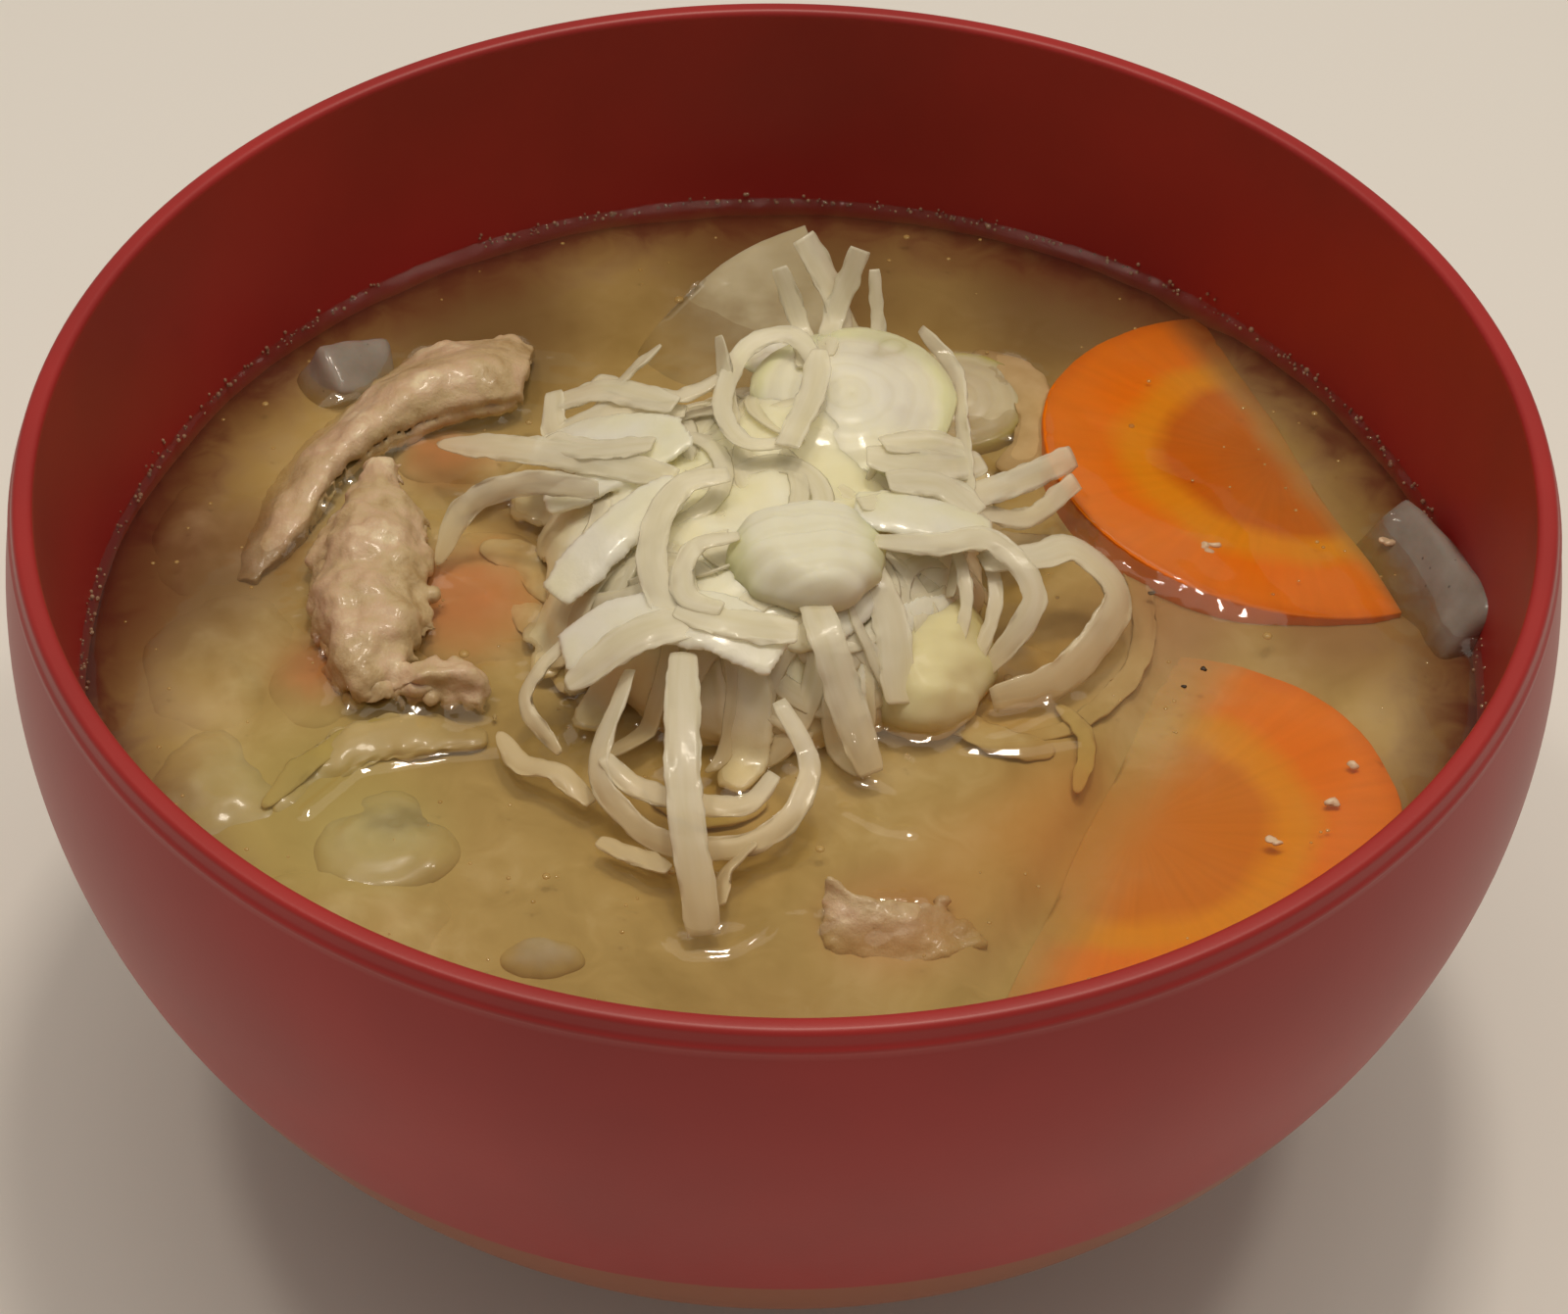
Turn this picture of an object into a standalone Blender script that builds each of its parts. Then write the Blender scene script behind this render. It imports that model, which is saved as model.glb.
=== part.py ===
# A lacquered soup bowl of miso soup with pork, carrot, daikon, konnyaku and a heap of shredded leek.
# Every value below is in millimetres. Meshes are scaled to metres when their objects are made.
# The origin is the centre of the foot, +Z is up, and the drinker sits on the -Y side.

import math

import bmesh
import bpy
from mathutils import Matrix, Vector

MM = 0.001
GAP = 0.3  # clear space between neighbouring pieces
MERGE = 0.00005  # metres, for points that meet on an axis
WELD = 0.0001
SHARP = 0.6  # radians between two faces, past which their edge is softened

# Bowl
HEIGHT = 68.0
BELLY_RADIUS = 61.9
BELLY_LEVEL = 54.8
OUTER_DROP = 55.0  # from the belly down to where the outer ellipse would close
INNER_RADIUS = 58.5
INNER_LEVEL = 64.0  # where the inner wall starts to curve in
INNER_DROP = 55.0  # from that level down to the floor
INNER_POWER = 2.5  # 2 is an ellipse, more is squarer
RIM_ROUND = 0.5
FOOT_RADIUS = 27.5
FOOT_WIDTH = 3.0
FOOT_HEIGHT = 6.2
RECESS_LEVEL = 5.0
BOWL_STEPS = 48
WALL_STEPS = 8

# Soup
SOUP_LEVEL = 47.5

# Garnish slices. The centre is on the top face, and slope is how far that face rises for each mm in X and Y.
CARROT_THICKNESS = 4.5
CARROT_BACK = dict(radius=20.8, centre=(43.0, 23.5, 45.8), yaw=24.8, slope=(-0.127, -0.059))
CARROT_FRONT = dict(radius=20.6, centre=(28.5, -19.5, 45.0), yaw=154.7, slope=(0.131, -0.062))
DAIKON_THICKNESS = 5.0
DAIKON = dict(radius=24.5, centre=(4.5, 27.0, 46.6), yaw=101.5, slope=(0.106, 0.164))
DAIKON_ANGLE = 90.0
LEEK_ROUND_THICKNESS = 4.0
LEEK_ROUND = dict(radius=6.3, centre=(15.0, 29.6, 47.4), yaw=0.0, slope=(0.05, 0.09))
SLICE_EDGE = 0.7  # softened by cooking
SLICE_STEPS = 32

# Konnyaku blocks, with one long side along the bowl's wall
KONNYAKU_EDGE = 0.9
KONNYAKU_RIGHT = dict(size=(14.0, 3.4, 8.0), centre=(53.2, 6.6, 45.8), yaw=-83.0, pitch=-9.0, lean=-4.0)
KONNYAKU_LEFT = dict(size=(8.5, 4.6, 6.0), centre=(-41.3, 33.0, 46.0), yaw=50.0, pitch=12.0, lean=6.0)

# Thin slices that lie folded: the line of the fold's crest, the half width of the slice measured along
# its own surface, and how far each half bends down, in degrees
PORK_THICKNESS = 2.0
PORK_FOLD = dict(
    crest=((-46.2, 11.6, 48.0), (-43.0, 20.2, 50.0), (-37.8, 26.6, 51.4), (-32.4, 30.8, 52.0),
           (-27.0, 31.4, 51.6), (-23.0, 28.8, 50.4), (-22.0, 25.2, 49.0)),
    half=4.3, bend=76.0, wave=0.35, waves=5)
PORK_CRUMPLED = dict(
    crest=((-36.8, 16.4, 50.0), (-34.6, 11.4, 51.6), (-34.8, 5.0, 51.8), (-35.4, -1.0, 51.2),
           (-33.2, -6.0, 50.4), (-28.0, -7.6, 49.6)),
    half=4.2, bend=70.0, wave=0.6, waves=7)
PORK_TIP = dict(
    crest=((3.6, -28.8, 49.4), (7.0, -31.2, 48.4), (11.2, -33.2, 47.0), (15.6, -35.2, 45.6)),
    half=3.4, bend=38.0, wave=0.3, waves=3)
LEEK_STRIP_THICKNESS = 1.4
LEEK_STRIP = dict(
    crest=((-38.0, -22.0, 46.8), (-36.6, -16.8, 48.0), (-33.0, -13.9, 48.6), (-28.6, -13.9, 48.2),
           (-25.4, -15.2, 47.2)),
    half=3.0, bend=55.0, wave=0.15, waves=4)
SHEET_STEPS = (14, 5)
SHEET_TAPER = 0.35  # how much narrower the slice is at its two ends

# Heap of shredded leek: a mound with strands and rings round it, resting on the soup
MOUND_CENTRE = (-1.0, 8.0)
MOUND_RADII = (18.5, 20.5)
MOUND_HEIGHT = 11.2
MOUND_LOBES = ((5, 0.07, 0.4), (9, 0.05, 2.0), (14, 0.03, 1.1))  # count, depth, turn
MOUND_DENTS = (21.0, 18.0, 0.04)  # turns of the pattern in X and Y over the mound, and its depth
STRAND_WIDTH = 2.6
ROUND_THICKNESS = 2.6
ROUNDS = (  # cut across the stem: radius, centre of the top face, and its slope
    (9.0, (4.0, 17.6, 59.0), (0.02, 0.06)),
    (5.6, (1.6, -1.4, 59.6), (-0.05, 0.30)),
)
HEAP_VOXEL = 0.8
HEAP_KEPT = 0.1
STRANDS = (
    ((-30.0, 18.6, 50.5), (-23.3, 14.3, 54.0), (-15.6, 10.0, 56.0)),
    ((-28.2, 5.2, 48.8), (-26.3, 9.1, 52.0), (-21.4, 8.6, 54.6), (-15.4, 6.4, 55.5)),
    ((-10.8, 22.1, 59.0), (-14.4, 19.9, 56.5), (-15.5, 15.8, 53.5)),
    ((-5.9, 21.0, 61.0), (-5.1, 17.3, 58.0), (-4.3, 12.2, 56.5)),
    ((1.1, 31.4, 64.0), (3.7, 28.4, 59.5), (4.6, 23.0, 56.0)),
    ((-0.9, 28.5, 62.5), (1.0, 25.6, 57.5), (1.0, 20.0, 55.5)),
    ((6.2, 30.3, 63.5), (4.2, 27.0, 58.0), (4.0, 20.0, 55.5)),
    ((24.3, 15.7, 53.0), (19.6, 10.9, 54.5), (13.0, 7.0, 55.0)),
    ((9.0, -0.1, 56.8), (16.6, 1.3, 56.5), (20.4, -1.4, 54.5), (19.7, -3.8, 52.5), (16.0, -6.7, 49.0)),
    ((20.0, 0.6, 53.6), (23.6, 3.8, 53.4), (26.8, 1.8, 51.4), (26.2, -1.4, 50.2), (22.0, -6.5, 49.2),
     (14.0, -6.0, 49.4)),
    ((3.0, -5.0, 56.5), (4.4, -12.0, 54.4), (7.3, -17.2, 48.6)),
    ((-7.6, -10.0, 56.0), (-7.6, -19.4, 55.2), (-7.2, -25.7, 53.0), (-6.0, -31.2, 49.6),
     (-5.5, -33.4, 48.2)),
    ((-13.0, -8.0, 54.0), (-17.4, -8.6, 53.2), (-20.4, -12.4, 50.6), (-17.4, -17.0, 49.2)),
    ((-22.5, -13.8, 48.8), (-20.4, -17.0, 48.8), (-17.5, -17.6, 49.4), (-14.2, -19.4, 50.6)),
    ((-16.0, -13.4, 52.0), (-14.2, -19.4, 50.8), (-11.6, -23.6, 49.6), (-6.0, -26.0, 49.2),
     (-1.0, -25.4, 49.6), (2.2, -21.0, 51.0), (0.6, -14.0, 54.0)),
    ((-14.0, -15.4, 52.6), (-10.6, -20.8, 51.0), (-5.6, -22.0, 51.0), (-1.4, -18.6, 52.2),
     (-1.2, -12.0, 54.0)),
    ((-20.0, 15.5, 53.0), (-14.0, 12.0, 56.8), (-8.0, 11.0, 57.8), (-2.0, 12.0, 57.6)),
    ((-18.0, 2.0, 54.0), (-12.0, 3.4, 57.6), (-6.4, 6.6, 58.8), (-3.4, 11.4, 58.4)),
    ((-16.6, -8.0, 53.4), (-11.4, -4.6, 57.2), (-6.0, -5.2, 58.2), (-3.0, -9.4, 57.0), (-5.0, -14.0, 55.0)),
    ((16.4, 13.0, 54.4), (13.8, 7.0, 57.0), (8.6, 4.4, 58.4), (3.0, 5.0, 58.8)),
    ((14.0, -9.0, 52.6), (12.0, -3.4, 56.4), (7.4, 0.2, 58.0)),
    ((9.4, 27.4, 53.4), (14.2, 21.0, 55.8), (14.6, 13.6, 56.6), (11.0, 8.0, 57.8)),
)
SPAN_STEPS = 4

COLLECTION = "miso_soup"
CUTTERS = "soup_cutters"


def outer_radius(level):
    drop = (BELLY_LEVEL - level) / OUTER_DROP
    return BELLY_RADIUS * math.sqrt(1.0 - drop * drop)


def inner_wall(steps, shrink):
    # From the middle of the floor out and up to where the wall stands upright
    points = []
    for step in range(steps + 1):
        angle = math.radians(90.0 * (1.0 - step / steps))
        radius = INNER_RADIUS * math.cos(angle) ** (2.0 / INNER_POWER)
        level = INNER_LEVEL - INNER_DROP * math.sin(angle) ** (2.0 / INNER_POWER)
        points.append((max(radius - shrink, 0.0), level + shrink * math.sin(angle)))
    points[0] = (0.0, points[0][1])
    return points


def bowl_profile():
    points = inner_wall(WALL_STEPS, 0.0)
    rim_outer = outer_radius(HEIGHT - RIM_ROUND)
    points.append((INNER_RADIUS, HEIGHT - RIM_ROUND))
    points.append((INNER_RADIUS + RIM_ROUND * 0.6, HEIGHT))
    points.append((rim_outer - RIM_ROUND, HEIGHT))
    points.append((rim_outer, HEIGHT - RIM_ROUND))
    top = math.asin((HEIGHT - 2.0 - BELLY_LEVEL) / OUTER_DROP)
    bottom = math.asin((FOOT_HEIGHT - BELLY_LEVEL) / OUTER_DROP)
    for step in range(WALL_STEPS + 1):
        angle = top + (bottom - top) * step / WALL_STEPS
        points.append((BELLY_RADIUS * math.cos(angle), BELLY_LEVEL + OUTER_DROP * math.sin(angle)))
    points.append((FOOT_RADIUS + 0.3, FOOT_HEIGHT * 0.75))
    points.append((FOOT_RADIUS, 0.5))
    points.append((FOOT_RADIUS - 0.4, 0.0))
    points.append((FOOT_RADIUS - FOOT_WIDTH, 0.0))
    points.append((FOOT_RADIUS - FOOT_WIDTH - 0.6, RECESS_LEVEL))
    points.append((0.0, RECESS_LEVEL))
    return points


def soup_profile():
    wall = [point for point in inner_wall(WALL_STEPS, GAP) if point[1] < SOUP_LEVEL - 1.0]
    drop = (INNER_LEVEL - SOUP_LEVEL) / INNER_DROP
    edge = INNER_RADIUS * (1.0 - drop ** INNER_POWER) ** (1.0 / INNER_POWER) - GAP
    return [(0.0, SOUP_LEVEL), (edge, SOUP_LEVEL)] + wall[::-1]


def make_material(name, colour, roughness):
    material = bpy.data.materials.new(name)
    material.use_nodes = True
    shader = material.node_tree.nodes["Principled BSDF"]
    shader.inputs["Base Color"].default_value = colour + (1.0,)
    shader.inputs["Roughness"].default_value = roughness
    shader.inputs["Metallic"].default_value = 0.0
    return material


def make_object(bm, name, material, target, smooth=40.0):
    bmesh.ops.scale(bm, vec=(MM, MM, MM), verts=bm.verts)
    mesh = bpy.data.meshes.new(name)
    bm.to_mesh(mesh)
    bm.free()
    mesh.shade_smooth()
    mesh.set_sharp_from_angle(angle=math.radians(smooth))
    obj = bpy.data.objects.new(name, mesh)
    if material:
        mesh.materials.append(material)
    else:
        obj.hide_render = True
        obj.display_type = 'WIRE'
    target.objects.link(obj)
    return obj


def turned(name, profile, material, target):
    bm = bmesh.new()
    verts = [bm.verts.new((radius, 0.0, level)) for radius, level in profile]
    for first, second in zip(verts, verts[1:]):
        bm.edges.new((first, second))
    obj = make_object(bm, name, material, target)
    screw = obj.modifiers.new("turn", 'SCREW')
    screw.steps = BOWL_STEPS
    screw.render_steps = BOWL_STEPS
    screw.use_merge_vertices = True
    screw.merge_threshold = MERGE
    screw.use_smooth_shade = True
    return obj


def slope_matrix(centre, yaw, slope):
    # The top face passes through centre and rises by slope in X and Y
    normal = Vector((-slope[0], -slope[1], 1.0)).normalized()
    tilt = Vector((0.0, 0.0, 1.0)).rotation_difference(normal).to_matrix().to_4x4()
    return Matrix.Translation(centre) @ tilt @ Matrix.Rotation(math.radians(yaw), 4, 'Z')


def keep_below(bm, point, normal):
    # Cuts the mesh at a plane, keeps the side away from the normal and closes the cut
    geom = bm.verts[:] + bm.edges[:] + bm.faces[:]
    cut = bmesh.ops.bisect_plane(bm, geom=geom, dist=WELD, plane_co=point, plane_no=normal,
                                 clear_outer=True)
    edges = [item for item in cut["geom_cut"] if isinstance(item, bmesh.types.BMEdge)]
    bmesh.ops.holes_fill(bm, edges=edges, sides=0)


def soften(bm, edges, width):
    bmesh.ops.bevel(bm, geom=edges, offset=width, offset_type='OFFSET', segments=2, profile=0.5,
                    affect='EDGES', material=-1, clamp_overlap=True)


def slice_mesh(radius, centre, yaw, slope, thickness, planes, grow):
    # A round slice cut by planes through its centre, each given by its normal's angle
    bm = bmesh.new()
    depth = thickness + 2.0 * grow
    middle = Matrix.Translation((0.0, 0.0, -0.5 * thickness))
    bmesh.ops.create_cone(bm, cap_ends=True, segments=SLICE_STEPS, radius1=radius + grow,
                          radius2=radius + grow, depth=depth, matrix=middle)
    for angle in planes:
        normal = Vector((math.cos(math.radians(angle)), math.sin(math.radians(angle)), 0.0))
        keep_below(bm, normal * grow, normal)
    if not grow:
        sharp = [edge for edge in bm.edges if edge.calc_face_angle(0.0) > SHARP]
        soften(bm, sharp, SLICE_EDGE)
    bm.transform(slope_matrix(centre, yaw, slope))
    return bm


def block_mesh(size, centre, yaw, pitch, lean, grow):
    bm = bmesh.new()
    bmesh.ops.create_cube(bm, size=1.0)
    bmesh.ops.scale(bm, vec=[side + 2.0 * grow for side in size], verts=bm.verts)
    if not grow:
        soften(bm, bm.edges[:], KONNYAKU_EDGE)
    turn = Matrix.Rotation(math.radians(yaw), 4, 'Z')
    tip = Matrix.Rotation(math.radians(pitch), 4, 'Y')
    tilt = Matrix.Rotation(math.radians(lean), 4, 'X')
    bm.transform(Matrix.Translation(centre) @ turn @ tip @ tilt)
    return bm


def smooth_line(points, step_count):
    # Catmull-Rom curve through the points, as (point, direction) pairs
    ends = [points[0] * 2.0 - points[1]] + points + [points[-1] * 2.0 - points[-2]]
    spans = len(points) - 1
    line = []
    for step in range(step_count + 1):
        place = min(step / step_count * spans, spans - 1e-6)
        span = int(place)
        t = place - span
        a, b, c, d = ends[span:span + 4]
        point = 0.5 * (2.0 * b + (c - a) * t + (2.0 * a - 5.0 * b + 4.0 * c - d) * t * t
                       + (3.0 * b - a - 3.0 * c + d) * t ** 3)
        along = 0.5 * ((c - a) + 2.0 * (2.0 * a - 5.0 * b + 4.0 * c - d) * t
                       + 3.0 * (3.0 * b - a - 3.0 * c + d) * t * t)
        line.append((point, along.normalized()))
    return line


def sheet_mesh(crest, half, bend, wave, waves, grow):
    # An open grid bent down on both sides of its crest line, for a Solidify modifier
    long_steps, wide_steps = SHEET_STEPS
    line = smooth_line([Vector(point) for point in crest], long_steps)
    bend_angle = math.radians(bend)
    radius = half / bend_angle
    bm = bmesh.new()
    bmesh.ops.create_grid(bm, x_segments=long_steps, y_segments=wide_steps, size=0.5)
    for vert in bm.verts:
        along = vert.co.x + 0.5
        across = vert.co.y * 2.0
        point, forward = line[round(along * long_steps)]
        side = Vector((0.0, 0.0, 1.0)).cross(forward).normalized()
        up = forward.cross(side)
        taper = 1.0 - SHEET_TAPER * abs(2.0 * along - 1.0) ** 3
        angle = bend_angle * across * taper * (1.0 + grow / half)
        ripple = wave * math.sin(waves * math.tau * along * 0.5 + 1.7 * across)
        if grow:
            point = point + forward * grow * (2.0 * along - 1.0)
        vert.co = point + side * (radius * math.sin(angle)) - up * (radius * (1.0 - math.cos(angle)) - ripple)
    return bm


def thicken(obj, thickness):
    solidify = obj.modifiers.new("thickness", 'SOLIDIFY')
    solidify.thickness = thickness * MM
    solidify.offset = 0.0
    solidify.use_even_offset = True


def strand_mesh(points):
    # A strand as a tube along a smooth curve, made a closed mesh in millimetres
    curve = bpy.data.curves.new("strand", 'CURVE')
    curve.dimensions = '3D'
    curve.bevel_depth = 0.5 * STRAND_WIDTH
    curve.bevel_resolution = 2
    curve.use_fill_caps = True
    line = smooth_line([Vector(point) for point in points], SPAN_STEPS * (len(points) - 1))
    spline = curve.splines.new('POLY')
    spline.points.add(len(line) - 1)
    for control, (point, _) in zip(spline.points, line):
        control.co = (point.x, point.y, point.z, 1.0)
    obj = bpy.data.objects.new("strand", curve)
    bpy.context.scene.collection.objects.link(obj)
    bpy.context.view_layer.update()
    mesh = bpy.data.meshes.new_from_object(obj.evaluated_get(bpy.context.evaluated_depsgraph_get()))
    bpy.data.objects.remove(obj)
    return mesh


def mound_mesh():
    # A dome whose edge runs in and out in lobes, closed by a flat base under the soup level
    bm = bmesh.new()
    bmesh.ops.create_uvsphere(bm, u_segments=48, v_segments=16, radius=1.0)
    for vert in bm.verts:
        turn = math.atan2(vert.co.y, vert.co.x)
        lobes = sum(depth * math.sin(count * turn + start) for count, depth, start in MOUND_LOBES)
        dents = MOUND_DENTS[2] * math.sin(MOUND_DENTS[0] * vert.co.x) * math.cos(MOUND_DENTS[1] * vert.co.y)
        reach = 1.0 + lobes * math.hypot(vert.co.x, vert.co.y)
        vert.co.x = MOUND_CENTRE[0] + vert.co.x * reach * MOUND_RADII[0]
        vert.co.y = MOUND_CENTRE[1] + vert.co.y * reach * MOUND_RADII[1]
        vert.co.z = SOUP_LEVEL + vert.co.z * (1.0 + dents) * MOUND_HEIGHT
    return bm


def leek_heap(material, target, cutters):
    bm = mound_mesh()
    for radius, centre, slope in ROUNDS:
        flat = slice_mesh(radius, centre, 0.0, slope, ROUND_THICKNESS, (), 0.0)
        mesh = bpy.data.meshes.new("round")
        flat.to_mesh(mesh)
        flat.free()
        bm.from_mesh(mesh)
        bpy.data.meshes.remove(mesh)
    for points in STRANDS:
        mesh = strand_mesh(points)
        bm.from_mesh(mesh)
        bpy.data.meshes.remove(mesh)
    bmesh.ops.remove_doubles(bm, verts=bm.verts, dist=WELD)
    heap = make_object(bm, "leek_heap", material, target)
    remesh = heap.modifiers.new("one skin", 'REMESH')
    remesh.mode = 'VOXEL'
    remesh.voxel_size = HEAP_VOXEL * MM
    remesh.use_smooth_shade = True
    decimate = heap.modifiers.new("fewer faces", 'DECIMATE')
    decimate.ratio = HEAP_KEPT
    below = bmesh.new()
    side = 4.0 * BELLY_RADIUS
    bmesh.ops.create_cube(below, size=side)
    bmesh.ops.translate(below, vec=(0.0, 0.0, SOUP_LEVEL + GAP - 0.5 * side), verts=below.verts)
    cut(heap, make_object(below, "below_heap", None, cutters))


def cut(obj, cutter):
    boolean = obj.modifiers.new("cut " + cutter.name, 'BOOLEAN')
    boolean.operation = 'DIFFERENCE'
    boolean.solver = 'EXACT'
    boolean.object = cutter


def main():
    for obj in list(bpy.data.objects):
        bpy.data.objects.remove(obj)
    target = bpy.data.collections.new(COLLECTION)
    cutters = bpy.data.collections.new(CUTTERS)
    bpy.context.scene.collection.children.link(target)
    bpy.context.scene.collection.children.link(cutters)

    lacquer = make_material("red_plastic", (0.15, 0.016, 0.014), 0.4)
    broth = make_material("miso_broth", (0.33, 0.23, 0.09), 0.1)
    carrot = make_material("carrot", (0.55, 0.14, 0.004), 0.3)
    daikon = make_material("daikon", (0.42, 0.32, 0.16), 0.3)
    leek = make_material("leek", (0.58, 0.54, 0.38), 0.35)
    green = make_material("leek_rim", (0.50, 0.50, 0.22), 0.35)
    pork = make_material("pork", (0.48, 0.33, 0.19), 0.5)
    konnyaku = make_material("konnyaku", (0.18, 0.14, 0.11), 0.2)

    turned("bowl", bowl_profile(), lacquer, target)
    soup = turned("soup", soup_profile(), broth, target)

    slices = (
        ("carrot_slice_back", CARROT_BACK, CARROT_THICKNESS, (0.0,), carrot),
        ("carrot_slice_front", CARROT_FRONT, CARROT_THICKNESS, (0.0,), carrot),
        ("daikon_slice", DAIKON, DAIKON_THICKNESS, (-90.0, DAIKON_ANGLE + 90.0), daikon),
        ("leek_round", LEEK_ROUND, LEEK_ROUND_THICKNESS, (), green),
    )
    for name, place, thickness, planes, material in slices:
        make_object(slice_mesh(thickness=thickness, planes=planes, grow=0.0, **place), name, material, target)
        grown = slice_mesh(thickness=thickness, planes=planes, grow=GAP, **place)
        cut(soup, make_object(grown, name + "_cutter", None, cutters))

    for name, place in (("konnyaku_right", KONNYAKU_RIGHT), ("konnyaku_left", KONNYAKU_LEFT)):
        make_object(block_mesh(grow=0.0, **place), name, konnyaku, target)
        cut(soup, make_object(block_mesh(grow=GAP, **place), name + "_cutter", None, cutters))

    sheets = (
        ("pork_fold", PORK_FOLD, PORK_THICKNESS, pork),
        ("pork_crumpled", PORK_CRUMPLED, PORK_THICKNESS, pork),
        ("pork_tip", PORK_TIP, PORK_THICKNESS, pork),
        ("leek_strip", LEEK_STRIP, LEEK_STRIP_THICKNESS, green),
    )
    for name, form, thickness, material in sheets:
        piece = make_object(sheet_mesh(grow=0.0, **form), name, material, target, 60.0)
        thicken(piece, thickness)
        grown = make_object(sheet_mesh(grow=GAP, **form), name + "_cutter", None, cutters)
        thicken(grown, thickness + 2.0 * GAP)
        cut(soup, grown)

    leek_heap(leek, target, cutters)


main()
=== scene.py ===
import math
import random

import bmesh
import bpy
import numpy as np
from mathutils import Matrix, Vector, noise
from mathutils.bvhtree import BVHTree


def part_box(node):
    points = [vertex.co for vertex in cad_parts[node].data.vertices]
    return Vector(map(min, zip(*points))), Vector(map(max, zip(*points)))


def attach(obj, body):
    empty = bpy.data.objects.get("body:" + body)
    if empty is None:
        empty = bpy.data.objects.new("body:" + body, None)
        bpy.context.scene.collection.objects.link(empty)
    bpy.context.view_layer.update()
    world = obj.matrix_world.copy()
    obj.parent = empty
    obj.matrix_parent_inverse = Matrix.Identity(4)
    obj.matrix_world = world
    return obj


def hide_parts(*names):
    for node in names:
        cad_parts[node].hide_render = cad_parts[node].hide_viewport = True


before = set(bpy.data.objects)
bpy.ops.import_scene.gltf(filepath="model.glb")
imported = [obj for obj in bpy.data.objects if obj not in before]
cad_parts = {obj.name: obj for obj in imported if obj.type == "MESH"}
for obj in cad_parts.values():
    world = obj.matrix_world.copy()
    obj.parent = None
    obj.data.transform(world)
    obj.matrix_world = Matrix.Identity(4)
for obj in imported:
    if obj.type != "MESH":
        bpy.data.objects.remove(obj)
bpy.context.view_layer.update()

# Lengths are in millimetres until a piece is finished, and metres after that
mm = 0.001
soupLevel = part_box("soup")[1].z / mm
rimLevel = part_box("bowl")[1].z / mm
brothTones = [(0.3, "#a68a4c"), (0.5, "#c0a464"), (0.7, "#dac28a")]
bpy.context.scene.view_settings.view_transform = "Standard"


def srgb(code):
    # "#RRGGBB" as the linear colour that shaders use
    parts = [int(code[i:i + 2], 16) / 255 for i in (1, 3, 5)]
    return tuple(p / 12.92 if p <= 0.04045 else ((p + 0.055) / 1.055) ** 2.4 for p in parts) + (1.0,)


def addNode(tree, kind, settings=None, links=None):
    # Adds a node; settings are its properties, ramp stops or unlinked sockets, and links feed its sockets
    node = tree.nodes.new(kind)
    for key, value in (settings or {}).items():
        if key == "stops":
            ramp = node.color_ramp
            while len(ramp.elements) < len(value):
                ramp.elements.new(1.0)
            for element, (place, code) in zip(ramp.elements, value):
                element.position = place
                element.color = srgb(code)
        elif isinstance(key, str) and hasattr(node, key):
            setattr(node, key, value)
        else:
            node.inputs[key].default_value = value
    for key, source in (links or {}).items():
        tree.links.new(source, node.inputs[key])
    return node


def newMaterial(name, settings):
    # A Principled material with its constant values set on the shader's own sockets
    material = bpy.data.materials.new(name)
    material.use_nodes = True
    shader = material.node_tree.nodes["Principled BSDF"]
    for key, value in settings.items():
        shader.inputs[key].default_value = value
    return material, material.node_tree, shader


def makePiece(name, bm, material, stands=(), sharp=None):
    # The finished mesh in metres, at the origin, riding on the bowl
    bmesh.ops.scale(bm, vec=(mm, mm, mm), verts=bm.verts)
    mesh = bpy.data.meshes.new(name)
    bm.to_mesh(mesh)
    bm.free()
    mesh.shade_smooth()
    if sharp:
        mesh.set_sharp_from_angle(angle=math.radians(sharp))
    mesh.materials.append(material)
    piece = bpy.data.objects.new(name, mesh)
    bpy.context.scene.collection.objects.link(piece)
    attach(piece, "root")
    if stands:
        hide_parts(*stands)
    print("made", name, len(mesh.polygons), "faces")
    return piece


def addMesh(target, bm):
    # Moves one small mesh into a larger one
    mesh = bpy.data.meshes.new("part")
    bm.to_mesh(mesh)
    bm.free()
    target.from_mesh(mesh)
    bpy.data.meshes.remove(mesh)


def smoothLine(points, count):
    # A Catmull-Rom curve through the points, evenly spaced, and its length
    rows = np.array(points, float)
    rows = np.vstack([2 * rows[0] - rows[1], rows, 2 * rows[-1] - rows[-2]])
    dense = []
    for i in range(1, len(rows) - 2):
        a, b, c, d = rows[i - 1:i + 3]
        for t in np.linspace(0, 1, 20, endpoint=False):
            dense.append(0.5 * (2 * b + (c - a) * t + (2 * a - 5 * b + 4 * c - d) * t * t
                                + (3 * b - a - 3 * c + d) * t ** 3))
    dense = np.array(dense + [rows[-2]])
    run = np.concatenate([[0], np.cumsum(np.linalg.norm(np.diff(dense, axis=0), axis=1))])
    even = np.linspace(0, run[-1], count)
    return np.stack([np.interp(even, run, dense[:, k]) for k in range(3)], axis=1), run[-1]


def lineFrames(line, roll, facing=None):
    # Directions along, across and away from a band's flat side. facing gives the way its flat side looks at a
    # point; without it the band starts level and is carried along the line without twist but for roll
    along = np.gradient(line, axis=0)
    along /= np.linalg.norm(along, axis=1)[:, None] + 1e-9
    away = np.zeros_like(along)
    current = np.array((0.0, 0.0, 1.0))
    for i, direction in enumerate(along):
        if facing:
            current = np.array(facing(line[i][0], line[i][1]))
        current = current - direction * (current @ direction)
        if np.linalg.norm(current) < 0.05:
            current = np.cross(direction, (0.3, 0.9, 0.1))
        current = current / np.linalg.norm(current)
        away[i] = current
    across = np.cross(along, away)
    angle = np.radians(np.linspace(roll[0], roll[1], len(line)))[:, None]
    turned = away * np.cos(angle) + across * np.sin(angle)
    return along, np.cross(along, turned), turned


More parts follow.
